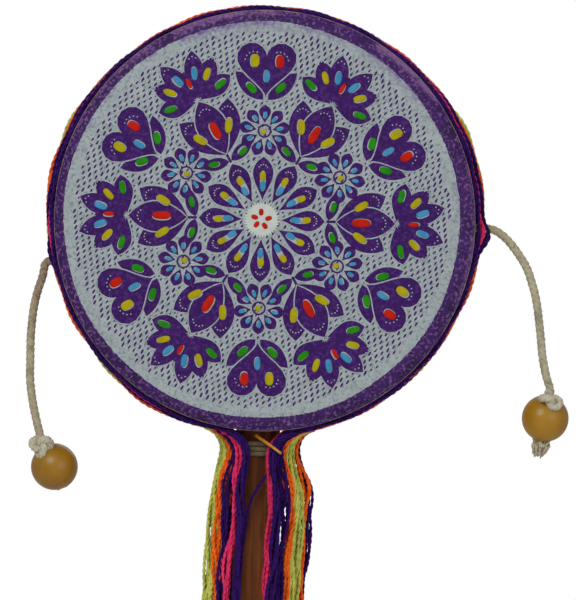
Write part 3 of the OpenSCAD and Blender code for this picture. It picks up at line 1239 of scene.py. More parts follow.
def lozenge(length: float, width: float) -> list[Point2]:
    """Outline a long dab with round ends, standing on the origin."""
    fullness = 0.8
    outline = []
    for x, y in disc(1.0, 18):
        across = math.copysign(abs(x) ** fullness, x)
        up = 1 + math.copysign(abs(y) ** fullness, y)
        outline.append((width / 2 * across, length / 2 * up))
    return outline


def bar(length: float, width: float) -> list[Point2]:
    """Outline a straight stroke that stands on the origin."""
    return [(width / 2, 0.0), (width / 2, length), (-width / 2, length), (-width / 2, 0.0)]


def put(
    outline: Iterable[Point2], out: float = 0.0, turn: float = 0.0, about: Point2 = (0.0, 0.0)
) -> list[Point2]:
    """Move an outline up by a distance, then turn it about the origin and shift it.

    Args:
        outline: the outline.
        out: how far it moves up.
        turn: how far it turns clockwise, in degrees.
        about: where the origin goes.

    Returns:
        The moved outline.
    """
    s, c = math.sin(math.radians(turn)), math.cos(math.radians(turn))
    return [(about[0] + x * c + (y + out) * s, about[1] - x * s + (y + out) * c) for x, y in outline]


def spot(out: float, turn: float, about: Point2 = (0.0, 0.0)) -> Point2:
    """The place that is a distance out from a point, the way a turn points."""
    return put([(0.0, 0.0)], out, turn, about)[0]


def part_way(first: Iterable[Point2], second: Iterable[Point2], share: float) -> list[Point2]:
    """The outline that is a share of the way from one outline to another."""
    pairs = zip(first, second)
    return [(a[0] + (b[0] - a[0]) * share, a[1] + (b[1] - a[1]) * share) for a, b in pairs]


def nearness(point: Point2, outline: Sequence[Point2]) -> float:
    """How near a point is to an outline's edges."""
    least = math.inf
    for a, b in zip(outline, [*outline[1:], outline[0]]):
        run = (b[0] - a[0], b[1] - a[1])
        along = (point[0] - a[0]) * run[0] + (point[1] - a[1]) * run[1]
        share = min(1.0, max(0.0, along / (run[0] ** 2 + run[1] ** 2 or 1.0)))
        least = min(least, math.dist(point, (a[0] + run[0] * share, a[1] + run[1] * share)))
    return least


def grown(outline: Sequence[Point2], by: float) -> list[Point2]:
    """Move an outline's points outward by a distance, without those that would fold over."""
    area = sum(a[0] * b[1] - b[0] * a[1] for a, b in zip(outline, [*outline[1:], outline[0]]))
    way = math.copysign(by, area)
    least_share = 0.9
    wider = []
    for i, point in enumerate(outline):
        before, after = outline[i - 1], outline[(i + 1) % len(outline)]
        run = (after[0] - before[0], after[1] - before[1])
        length = math.hypot(*run) or 1.0
        shifted = (point[0] + way * run[1] / length, point[1] - way * run[0] / length)
        if nearness(shifted, outline) > least_share * by:
            wider.append(shifted)
    return wider


# What the print's motifs are made of

@dataclass(frozen=True)
class Leaf:
    """A purple leaf or petal: its shape, how far out it starts and how far it leans."""

    length: float
    width: float
    belly: float
    out: float
    lean: float = 0.0
    over: bool = False

    def draw(self, head: "PrintedHead", turn: float, about: Point2) -> None:
        """Draw the leaf on a head."""
        head.motif(put(blade(self.length, self.width, self.belly), self.out, turn, about), self.over)


@dataclass(frozen=True)
class Dab:
    """A dab of paint on a silver window. Either can be left out."""

    colour: str | None
    length: float
    width: float
    out: float
    lean: float = 0.0
    window: bool = True

    def draw(self, head: "PrintedHead", turn: float, about: Point2) -> None:
        """Draw the window and the dab on a head."""
        outline = put(lozenge(self.length, self.width), self.out, turn, about)
        if self.window:
            head.window(outline)
        if self.colour:
            head.paint_dab(self.colour, outline)


@dataclass(frozen=True)
class Beads:
    """An arc of silver beads: its radius, its reach to each side and how far out it is."""

    radius: float
    spread: float
    out: float
    lean: float = 0.0
    count: int = 5
    bead: float = 0.24
    bead_corners: int = 8

    def draw(self, head: "PrintedHead", turn: float, about: Point2) -> None:
        """Draw the beads on a head."""
        centre = spot(self.out, turn, about)
        for i in range(self.count):
            lean = self.spread * (2 * i / (self.count - 1) - 1)
            head.window(put(disc(self.bead, self.bead_corners), self.radius, turn + lean, centre))


Part = Leaf | Dab | Beads


@dataclass(frozen=True)
class Growth:
    """Parts that grow from one point: those on both sides of it, then single ones."""

    foot: float
    both: tuple[Part, ...] = ()
    single: tuple[Part, ...] = ()


def ring_of(count: int, *parts: Part) -> tuple[Part, ...]:
    """Repeat parts evenly round a point."""
    return tuple(replace(part, lean=360 * i / count) for i in range(count) for part in parts)


ROSETTE = Growth(0.0, single=ring_of(
    12,
    Leaf(13.8, 6.5, 1.5, out=6.2),
    Dab(None, 6.6, 1.9, out=9.0),
    Dab("blue", 3.0, 1.9, out=9.0, window=False),
    Dab("yellow", 2.8, 2.0, out=12.6, window=False),
    Beads(1.5, 62, out=16.0),
))
ROSETTE_DABS = Growth(0.0, single=ring_of(5, Dab("red", 2.2, 1.5, out=1.1, window=False)))
STAR = Growth(28.2, single=ring_of(
    9, Leaf(5.8, 3.8, 1.5, out=2.5), Dab("blue", 2.2, 1.2, out=3.9)
))
TULIP = (
    Growth(21.0, both=(
        Leaf(9.4, 4.0, 0.9, out=0.4, lean=74),
        Dab("green", 3.4, 1.8, out=3.4, lean=74),
    )),
    Growth(
        23.4,
        both=(
            Leaf(18.0, 8.4, 1.15, out=0.0, lean=29),
            Dab("yellow", 4.8, 2.3, out=7.2, lean=32),
            Beads(2.0, 56, out=13.4, lean=29),
        ),
        single=(
            Leaf(18.6, 9.6, 1.1, out=0.4, over=True),
            Dab("red", 6.0, 2.6, out=5.4),
            Beads(2.1, 58, out=14.0),
        ),
    ),
)
PALMETTE = (
    *(
        Growth(42.6, both=(
            Leaf(16.6 - 0.055 * lean, 6.2, 1.3, out=0.8, lean=lean, over=True),
            Dab(colour, 4.2, 2.0, out=7.0, lean=lean),
            Beads(1.2, 60, out=13.2, lean=lean, count=3),
        ))
        for lean, colour in ((78, "green"), (46, "yellow"), (20, "blue"))
    ),
    Growth(42.6, single=(
        Leaf(9.6, 3.4, 1.2, out=1.0, over=True),
        Dab("red", 3.4, 1.4, out=4.4),
    )),
)
HEART_LEAVES = Growth(37.4, both=(
    Leaf(12.6, 5.4, 0.95, out=1.0, lean=46),
    Dab("green", 4.0, 2.2, out=4.6, lean=46),
))


# The printed heads

class PrintLevel(Enum):
    """The lowest top of each layer of the print, above the head."""

    GROUND = 0.05
    MARGIN = 0.09
    MOTIF = 0.13
    HALO = 0.17
    OVER = 0.21
    WINDOW = 0.25
    DAB = 0.42


class Relief:
    """Thin closed shapes on a head, gathered into one mesh."""

    sink: float = -0.05
    step: float = 0.001
    steps: int = 31

    def __init__(self, face: Face) -> None:
        """Start with no shape on a head."""
        self.work = bmesh.new()
        self.face = face
        self.counts = {level: 0 for level in PrintLevel}

    def ring(self, outline: Sequence[Point2], level: float) -> list[bmesh.types.BMVert]:
        """Add an outline's points at a level above the head."""
        way = self.face.value
        return [
            self.work.verts.new(placed(-way * x, -way * (DRUM.head(math.hypot(x, y)) + level), y))
            for x, y in outline
        ]

    def shape(self, outline: Sequence[Point2], level: PrintLevel, dome: float = 0.0) -> None:
        """Add a shape that is raised to a level, a hair above or below its neighbours there.

        Args:
            outline: its outline from the drum's middle.
            level: the level of its top.
            dome: the share by which a raised dab's top is drawn in, or 0.
        """
        self.counts[level] += 1
        high = level.value + self.step * (self.counts[level] % self.steps)
        bottom = self.ring(outline, self.sink)
        top = self.ring(outline, high * (1 - dome))
        self.work.faces.new(list(reversed(bottom)))
        add_wall(self.work, bottom, top)
        if dome:
            middle = tuple(sum(values) / len(outline) for values in zip(*outline))
            for share, height in ((1 - dome / 2, high * (1 - dome / 4)), (1 - dome, high)):
                inner = self.ring(part_way([middle] * len(outline), outline, share), height)
                add_wall(self.work, top, inner)
                top = inner
        self.work.faces.new(top)

    def band(self, outer: Sequence[Point2], inner: Sequence[Point2], level: PrintLevel) -> None:
        """Add a closed band between two outlines with as many points."""
        rings = [
            self.ring(outer, self.sink),
            self.ring(outer, level.value),
            self.ring(inner, level.value),
            self.ring(inner, self.sink),
        ]
        for a, b in zip(rings, [*rings[1:], rings[0]]):
            add_wall(self.work, a, b)

    def finish(self, name: str, material: Material, smooth: bool = False) -> Piece:
        """Turn the shapes into a piece that rides on the drum."""
        piece = mesh_object(f"{self.face.name.lower()}_{name}", self.work, material, smooth)
        return settle(piece, "drum", "hide")


@dataclass
class PrintedHead:
    """A head and its print: rosette, tulips, hearts and sprigs on a silver ground."""

    face: Face
    ground_radius: float = 63.0
    flat_radius: float = 61.0
    ground_points: int = 720
    edge_waves: int = 9
    edge_wave: float = 0.14
    edge_rough: float = 0.16
    dash_radius: float = 59.8
    shift: Point2 = (-1.0, 0.2)
    margin: float = 0.7
    line_share: float = 0.6
    dab_slip: float = 0.4
    dab_dome: float = 0.3
    repeats: int = 6
    seed: int = 11

    def build(self, finishes: Finishes, loom: Loom) -> None:
        """Make the print's layers and dress the head.

        Args:
            finishes: the materials.
            loom: what runs the geometry trees.
        """
        self.chance = random.Random(self.seed)
        self.purple = Relief(self.face)
        self.silver = Relief(self.face)
        self.pale = Relief(self.face)
        self.dabs = {name: Relief(self.face) for name in finishes.dabs}
        self.ground(finishes.silver)
        self.dashes(finishes.bare_hide, loom)
        self.rosette()
        for i in range(self.repeats):
            turn = 360 * i / self.repeats
            between = turn + 180 / self.repeats
            self.tulip(between)
            for growth in PALMETTE:
                self.grow(growth, between)
            self.star_flower(turn)
            self.heart_sprig(turn)
        self.purple.finish("print_motifs", finishes.bare_hide)
        self.silver.finish("print_windows", finishes.silver)
        self.pale.finish("print_middle", finishes.pale_print)
        for name, relief in self.dabs.items():
            relief.finish(f"print_dabs_{name}", finishes.dabs[name], smooth=True)
        dress(f"{self.face.name.lower()}_head", finishes.hide)

    def moved(self, outline: Iterable[Point2]) -> list[Point2]:
        """Shift an outline by the print's own place on the head."""
        return [(x + self.shift[0], y + self.shift[1]) for x, y in outline]

    def motif(self, outline: Sequence[Point2], over: bool = False) -> None:
        """Add a purple shape with a silver margin, which is finer on one that lies over others."""
        margin = self.line_share * self.margin if over else self.margin
        below, top = (
            (PrintLevel.HALO, PrintLevel.OVER) if over else (PrintLevel.MARGIN, PrintLevel.MOTIF)
        )
        self.silver.shape(self.moved(grown(outline, margin)), below)
        self.purple.shape(self.moved(outline), top)

    def window(self, outline: Iterable[Point2]) -> None:
        """Add a silver shape on top of a purple one."""
        self.silver.shape(self.moved(outline), PrintLevel.WINDOW)

    def paint_dab(self, colour: str, outline: Sequence[Point2]) -> None:
        """Add a dab of paint, a little out of its place."""
        off = [self.chance.uniform(-self.dab_slip, self.dab_slip) for _ in range(2)]
        painted = [(x + off[0], y + off[1]) for x, y in outline]
        self.dabs[colour].shape(self.moved(painted), PrintLevel.DAB, self.dab_dome)

    def ground(self, finish: Material) -> None:
        """Make the silver ground, which runs onto the bend of the rim with a ragged edge."""
        relief = Relief(self.face)
        edge = []
        for i in range(self.ground_points):
            angle = TURN * i / self.ground_points
            wave = self.edge_wave * math.sin(self.edge_waves * angle)
            ragged = wave + self.chance.uniform(-self.edge_rough, self.edge_rough)
            radius = self.ground_radius + ragged
            edge.append((radius * math.cos(angle), radius * math.sin(angle)))
        edge = self.moved(edge)
        flat = []
        for x, y in edge:
            out = math.hypot(x, y)
            flat.append((x * self.flat_radius / out, y * self.flat_radius / out))
        rings = [relief.ring(edge, relief.sink)]
        for share in (1.0, 0.8, 0.6, 0.4, 0.2, 0.0):
            rings.append(relief.ring(part_way(flat, edge, share), PrintLevel.GROUND.value))
        rings.append(relief.ring(flat, relief.sink))
        for low, high in zip(rings, rings[1:]):
            add_wall(relief.work, low, high)
        relief.work.faces.new(rings[-2])
        add_wall(relief.work, rings[-1], rings[0])
        relief.work.faces.new(rings[-1])
        relief.finish("print_ground", finish)

    def dashes(self, finish: Material, loom: Loom) -> None:
        """Make the slanted dashes of bare hide that show through the ground."""
        name = f"{self.face.name.lower()}_print_dashes"
        piece = add_object(name, bpy.data.meshes.new(name))
        way = self.face.value
        values = {
            "Radius": self.dash_radius * MM,
            "Dash length": 1.75 * MM,
            "Dash width": 0.68 * MM,
            "Dash height": 0.1 * MM,
            "Step": 2.1 * MM,
            "Row": 1.6 * MM,
            "Slip": 0.31,
            "Level": -way * 0.015 * MM,
            "Row slant": math.radians(29),
            "Dash slant": math.radians(56),
            "Middle": placed(-way * self.shift[0], -way * DRUM.face, self.shift[1]),
            "Count": 86,
            "Seed": self.seed,
            "Finish": finish,
        }
        loom.run(piece, loom.tree("dashes", dash_tree), values)
        settle(piece, "drum", "hide")

    def grow(self, growth: Growth, turn: float) -> None:
        """Draw the parts that grow from one point, which lies the way a turn points."""
        foot = spot(growth.foot, turn)
        for way in (-1, 1):
            for part in growth.both:
                part.draw(self, turn + way * part.lean, foot)
        for part in growth.single:
            part.draw(self, turn + part.lean, foot)

    def rosette(self) -> None:
        """Draw the rosette in the middle, with its pale fringed eye."""
        short, long, points = 4.8, 5.9, 72
        self.grow(ROSETTE, 0.0)
        fringe = []
        for i, (x, y) in enumerate(disc(1.0, points)):
            radius = long if i % 2 else short
            fringe.append((radius * x, radius * y))
        self.pale.shape(self.moved(fringe), PrintLevel.OVER)
        self.grow(ROSETTE_DABS, 0.0)

    def tulip(self, turn: float) -> None:
        """Draw a tulip on its stem, pointing out from the middle."""
        stem_length, stem_width, stem_out = 3.4, 0.8, 20.6
        self.motif(put(bar(stem_length, stem_width), stem_out, turn))
        for growth in TULIP:
            self.grow(growth, turn)

    def star_flower(self, turn: float) -> None:
        """Draw a small flower with round petals and a ringed eye."""
        outer, inner, eye, eye_corners = 2.2, 1.7, 0.9, 14
        self.grow(STAR, turn)
        middle = spot(STAR.foot, turn)
        rings = (self.moved(put(disc(radius), about=middle)) for radius in (outer, inner))
        self.purple.band(*rings, PrintLevel.OVER)
        self.paint_dab("yellow", put(disc(eye, eye_corners), about=middle))

    def heart_sprig(self, turn: float) -> None:
        """Draw a heart between two leaves near the rim."""
        size, rise, lobe_side, lobe_up, bead_lean = 19.0, 1.6, 4.0, 13.0, 32
        self.grow(HEART_LEAVES, turn)
        foot = spot(HEART_LEAVES.foot, turn)
        self.motif(put(heart(size), rise, turn, foot), over=True)
        for way, colour in ((-1, "yellow"), (1, "red")):
            lobe = put([(lobe_side * way, lobe_up)], 0.0, turn, foot)[0]
            Dab(colour, 4.2, 2.7, out=-2.1).draw(self, turn, lobe)
            Beads(2.9, 50, out=0.0).draw(self, turn + way * bead_lean, lobe)
        Dab("blue", 4.0, 1.9, out=6.2).draw(self, turn, foot)


# The hoop, the stick and the small pieces under the drum

@dataclass
class HoopAndStick:
    """The wooden hoop and stick, the pin between them, the binding and a straw."""

    binding_steps: int = 40
    thread_step: float = 0.35
    straw_sides: int = 10
    straw_thick: float = 0.6
    straw_taper: float = 0.2
    straw_points: tuple[Point3, ...] = (
        (-0.8, 9.0, -68.4), (1.9, 11.2, -70.1), (4.7, 13.9, -71.9), (7.6, 15.2, -73.9),
    )

    def build(self, finishes: Finishes, loom: Loom) -> None:
        """Dress the wood and the pin and make the binding and the straw."""
        dress("drum_hoop", finishes.pale_wood)
        dress("stick", finishes.stained_wood)
        dress("stick_pin", finishes.steel)
        self.binding(finishes.thread, loom)
        self.straw(finishes.straw)

    def binding(self, finish: Material, loom: Loom) -> None:
        """Wind the white thread round the stick under the drum."""
        radius = STICK.radius + DRUM.glue_gap + STICK.binding_thread / 2
        top = -DRUM.yarn_surface - STICK.binding_drop - STICK.binding_thread / 2
        knots = []
        for i in range(STICK.binding_turns * self.binding_steps + 1):
            turns = i / self.binding_steps
            angle = TURN * turns
            up = top - STICK.binding_pitch * turns
            knots.append(placed(radius * math.cos(angle), -radius * math.sin(angle), up))
        line = Line.through(knots, self.thread_step, Vector((0, 0, 1)))
        piece = loom.cord("stick_binding_thread", [line], THREAD_LAY, finish)
        settle(piece, "drum", "white_thread", "stick_binding")

    def straw(self, finish: Material) -> None:
        """Make the stiff golden strand end that sticks out under the drum."""
        points = rounded([placed(*point) for point in self.straw_points])
        last = len(points) - 1
        radii = [(self.straw_thick - self.straw_taper * i / last) * MM for i in range(last + 1)]
        work = bmesh.new()
        add_tube(work, points, radii, self.straw_sides)
        piece = mesh_object("strand_end", work, finish, smooth=True)
        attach(piece, "drum")
        report(piece)


# The yarn round the hoop and the tassels

@dataclass(frozen=True)
class Swell:
    """A stretch of the hoop where yarn stands out, by its angle from +X."""

    angle: float
    half_width: float
    height: float

    def at(self, angle: float) -> float:
        """How far the yarn stands out at an angle."""
        off = abs((angle - self.angle + 180) % 360 - 180) / self.half_width
        return self.height * (1 + math.cos(math.pi * off)) / 2 if off < 1 else 0.0


BULGES = (Swell(18, 42, 1.9), Swell(165, 42, 1.3), Swell(246, 26, 1.8))

COLOUR_SWELLS = {
    YarnColour.PURPLE: (Swell(358, 5, 3.2), Swell(190, 6, 1.0), Swell(300, 30, 0.2)),
    YarnColour.PINK: (
        Swell(359, 4, 3.4), Swell(186, 8, 0.7), Swell(36, 14, 0.6), Swell(262, 14, 0.5),
    ),
    YarnColour.ORANGE: (
        Swell(110, 30, 0.4), Swell(172, 12, 0.5), Swell(208, 14, 0.4), Swell(240, 16, 0.5),
        Swell(292, 14, 0.3), Swell(345, 12, 0.4), Swell(50, 10, 0.5),
    ),
    YarnColour.LIME: (
        Swell(153, 9, 0.6), Swell(224, 10, 0.4), Swell(320, 12, 0.2), Swell(26, 9, 0.6),
    ),
}

STRAND_WANDER = {
    YarnColour.PURPLE: 1.35,
    YarnColour.PINK: 1.1,
    YarnColour.ORANGE: 1.5,
    YarnColour.LIME: 0.8,
}


@dataclass(frozen=True)
class Hang:
    """How a tassel hangs: what share of its width it has where it leaves and lower down."""

    inner_waist: float
    outer_waist: float
    fan: float
    drop: float
    lean: float


HANGS = {
    Side.LEFT: Hang(0.45, 0.84, 0.93, 9.0, 3.2),
    Side.RIGHT: Hang(0.84, 0.76, 1.08, 15.0, -1.7),
}


class Wander:
    """Slow waves to the side and to the front, each the mean of two."""

    def __init__(self, chance: random.Random, shortest: float, longest: float) -> None:
        """Draw the lengths and starts of the waves."""
        self.waves = [
            (chance.uniform(shortest, longest), chance.uniform(0, TURN)) for _ in range(4)
        ]

    def at(self, down: float) -> tuple[float, float]:
        """How far the waves reach to the side and to the front, as shares of their most."""
        reach = [math.sin(TURN * down / length + start) for length, start in self.waves]
        return sum(reach[:2]) / 2, sum(reach[2:]) / 2


@dataclass
class YarnTrim:
    """Ten yarns laid round the hoop, with both ends of each hanging as tassels."""

    step: float = 0.6
    wander: float = 0.45
    front_share: float = 0.7
    strands: int = 6
    strand_offset: float = 0.8
    strand_turn: float = 44.0
    row_rise: tuple[float, ...] = (0.25, 0.2, 0.1, -0.15, -0.2)
    bulge_shares: tuple[float, ...] = (1.0, 0.95, 0.8, 0.2, 0.15)
    swell_shares: tuple[float, ...] = (1.0, 1.0, 1.0, 0.7, 0.15)
    widest_share: float = 2.0
    free_drop: float = 20.0
    bend_steps: int = 8
    hang_step: float = 2.0
    round_steps: int = 360
    round_rough: Point2 = (0.2, 0.4)
    round_waves: tuple[int, int] = (5, 16)
    end_hold: float = 12.0
    yarn_waves: Point2 = (34.0, 60.0)
    strand_waves: Point2 = (24.0, 70.0)
    ease_rounds: int = 4
    seed: int = 23
    stray_diameter: float = 1.1
    stray_points: tuple[Point3, ...] = (
        (7.6, 11.0, -71.0), (6.4, 11.2, -76.0), (4.5, 10.6, -79.7), (2.0, 10.0, -82.6),
        (-1.0, 9.8, -88.0), (-2.5, 9.9, -93.8), (-3.4, 10.1, -101.8), (-3.9, 10.3, -108.2),
        (-4.4, 10.5, -121.0), (-4.2, 10.4, -140.0), (-5.0, 10.5, -163.0),
    )

    def build(self, finishes: Finishes, loom: Loom) -> None:
        """Lay the yarns round the hoop and hang their ends."""
        wraps: dict[YarnColour, list[Line]] = {colour: [] for colour in YarnColour}
        for number, yarn in enumerate(YARNS):
            line, right_leaves, left_leaves = self.line(yarn)
            wraps[yarn.colour].append(line.part(right_leaves, left_leaves))
            ends = {
                Side.RIGHT: line.part(0.0, right_leaves),
                Side.LEFT: line.part(left_leaves, line.along[-1]),
            }
            for side, end in ends.items():
                self.tassel(side, number, end, finishes.yarn[yarn.colour], loom)
        for colour, lines in wraps.items():
            name = colour.value
            piece = loom.cord(f"yarn_round_hoop_{name}", lines, WRAP_LAY, finishes.yarn[colour])
            settle(piece, "drum", f"yarn_{name}", f"yarn_wrap_{name}")
        self.stray_strand(finishes.yarn[YarnColour.PURPLE], loom)

    def rise(self, yarn: YarnLie, angle: float) -> float:
        """How far a yarn lies outside the innermost place on the hoop."""
        row = abs(yarn.row) - 1
        bulge = max(swell.at(angle) for swell in BULGES) * self.bulge_shares[row]
        swell = max(swell.at(angle) for swell in COLOUR_SWELLS[yarn.colour]) * self.swell_shares[row]
        return self.row_rise[row] + bulge + swell

    def hanging(self, yarn: YarnLie, side: Side, chance: random.Random) -> list[Vector]:
        """The points of a yarn's end, from the hoop down.

        Args:
            yarn: the yarn.
            side: the side on which it hangs.
            chance: the source of its wander.

        Returns:
            The points in metres.
        """
        reach = DRUM.wrap_radius + DRUM.yarn_bend
        hang = HANGS[side]
        out = yarn.out_share(side) * STICK.radius
        outer = yarn.out_share(side) / self.widest_share
        waist = out * (hang.inner_waist + (hang.outer_waist - hang.inner_waist) * outer)
        away = math.asin((waist + DRUM.yarn_bend) / reach)
        lean = math.radians(hang.lean) * outer
        middle = (reach * math.sin(away), -reach * math.cos(away))
        first, last = math.pi / 2 + away, math.pi + lean
        points = []
        for i in range(self.bend_steps + 1):
            angle = first + (last - first) * i / self.bend_steps
            right = middle[0] + DRUM.yarn_bend * math.cos(angle)
            up = middle[1] + DRUM.yarn_bend * math.sin(angle)
            points.append((right, up, 0.0))
        length = DRUM.tassel_length * yarn.length_share
        waves = Wander(chance, *self.yarn_waves)
        still = waves.at(0.0)
        start = points[-1]
        count = round(length / self.hang_step)
        for i in range(1, count + 1):
            down = length * i / count
            loose = self.wander * min(1.0, down / self.free_drop)
            fan = (out * hang.fan - waist) * eased_step(down / hang.drop)
            sway, nod = (now - then for now, then in zip(waves.at(down), still))
            right = start[0] + fan + down * math.sin(lean) + loose * sway
            up = start[1] - down * math.cos(lean)
            points.append((right, up, self.front_share * loose * nod))
        return [placed(side.value * x, -yarn.depth - depth, up) for x, up, depth in points]

    def line(self, yarn: YarnLie) -> tuple[Line, float, float]:
        """Draw a whole yarn, from its right end round the hoop to its left end.

        Args:
            yarn: the yarn.

        Returns:
            The line, and the lengths at which it meets and leaves the hoop.
        """
        chance = random.Random(self.seed + yarn.row)
        right = self.hanging(yarn, Side.RIGHT, chance)
        left = self.hanging(yarn, Side.LEFT, chance)
        start = math.atan2(right[0].z / MM - DRUM.middle, right[0].x / MM)
        end = math.atan2(left[0].z / MM - DRUM.middle, left[0].x / MM) + TURN
        waves = [(chance.randint(*self.round_waves), chance.uniform(0, TURN)) for _ in range(3)]
        out_rough, side_rough = self.round_rough
        around = []
        for i in range(1, self.round_steps):
            share = i / self.round_steps
            angle = start + (end - start) * share
            held = min(1.0, self.end_hold * share, self.end_hold * (1 - share))
            rough = sum(math.sin(n * angle + p) for n, p in waves) / 3
            rise = self.rise(yarn, math.degrees(angle))
            radius = DRUM.wrap_radius + held * (rise + out_rough * rough)
            depth = -yarn.depth + side_rough * held * rough
            around.append(placed(radius * math.cos(angle), depth, radius * math.sin(angle)))
        knots = eased([*reversed(right), *around, *left], self.ease_rounds)
        line = Line.through(knots, self.step, Vector((0, 1, 0)))
        return line, line.nearest(right[0]), line.nearest(left[0])

    def tassel(self, side: Side, number: int, end: Line, finish: Material, loom: Loom) -> None:
        """Make one hanging end of a yarn.

        Args:
            side: the side on which it hangs.
            number: which yarn it is.
            end: the line of its hanging end.
            finish: its material.
            loom: what lays it up.
        """
        name = side.name.lower()
        colour = YARNS[number].colour
        chance = random.Random(self.seed * (number + 1) + side.value)
        strands = self.split(end, side, STRAND_WANDER[colour], chance)
        piece = loom.cord(f"{name}_tassel_end_{number + 1:02d}", strands, STRAND_LAY, finish)
        settle(piece, "drum", f"yarn_{colour.value}", f"{name}_tassel_{colour.value}")

    def split(self, end: Line, side: Side, wander: float, chance: random.Random) -> list[Line]:
        """Split a hanging end into its strands, which loosen away from the hoop.

        Args:
            end: the line of the hanging end.
            side: the side on which it hangs.
            wander: how far the strands wander from the yarn's line.
            chance: the source of their wander.

        Returns:
            The line of each strand.
        """
        top = end.along[0] if side is Side.LEFT else end.along[-1]
        lines = []
        for strand in range(self.strands):
            waves = Wander(chance, *self.strand_waves)
            knots = []
            for i, (point, across) in enumerate(zip(end.points, end.sides)):
                other = heading_at(end.points, i).cross(across)
                down = abs(end.along[i] - top) / MM
                angle = TURN * (strand / self.strands + down / self.strand_turn)
                loose = wander * min(1.0, down / self.free_drop)
                sway, nod = waves.at(down)
                aside = self.strand_offset * math.cos(angle) + loose * sway
                front = self.strand_offset * math.sin(angle) + self.front_share * loose * nod
                knots.append(point + (other * aside + across * front) * MM)
            lines.append(Line.through(knots, self.step, Vector((0, 1, 0))))
        return lines

    def stray_strand(self, finish: Material, loom: Loom) -> None:
        """Make the loose purple strand that crosses in front of the stick."""
        points = rounded([placed(*point) for point in self.stray_points])
        line = Line.through(points, self.step, Vector((0, 1, 0)))
        piece = loom.cord("right_tassel_stray_strand", [line], STRAND_LAY, finish)
        settle(piece, "drum", "yarn_purple")


# The cords and pellets

@dataclass(frozen=True)
class CordLie:
    """How one cord leaves the drum and hangs, as in the CAD source."""

    side: Side
    exit_angle: float
    stub: tuple[Point2, ...]
    start: Point2
    route: tuple[Point3, ...]
    pellet_turn: float
    tail_seat: float
    knot_tilt: Point3
    tail_tilt: Point3
    knot_sag: float
    fray: float


CORDS = (
    CordLie(
        side=Side.LEFT,
        exit_angle=12.5,
        stub=(),
        start=(2.15, 0.48),
        route=(
            (0, 0, 0), (1, 4.5, 0), (2.4, 9, 0), (3.5, 14.5, 0), (4, 20, 0), (4.2, 24.5, 0),
            (4.1, 31, 0), (3.9, 38, 0), (2.8, 45, 0.3), (1.2, 51.5, 1.1), (-0.4, 57, 2.3),
        ),
        pellet_turn=27.0,
        tail_seat=4.5,
        knot_tilt=(62.0, 20.0, 35.0),
        tail_tilt=(10.0, 0.0, 0.0),
        knot_sag=1.7,
        fray=0.0,
    ),
    CordLie(
        side=Side.RIGHT,
        exit_angle=0.0,
        stub=((2.0, 0.0), (4.2, 0.4), (6.4, 1.5)),
        start=(9.1, 3.8),
        route=(
            (0, 0, 0), (2.9, 3.5, 0), (6.1, 8.4, 0), (8, 13.4, 0), (9.4, 18.3, 0), (10.3, 23.3, 0),
            (11.2, 29.7, 0), (12, 36.2, 0.4), (13.2, 42.1, 1.3), (14.9, 47.2, 2.3),
        ),
        pellet_turn=8.0,
        tail_seat=2.9,
        knot_tilt=(25.0, 0.0, 40.0),
        tail_tilt=(24.0, 12.0, 10.0),
        knot_sag=3.0,
        fray=3.1,
    ),
)

INNER_TILT = (80.0, 0.0, 0.0)
WISP = ((0.0, 0.36), (0.3, 0.36), (0.6, 0.34), (0.85, 0.3), (1.0, 0.18))


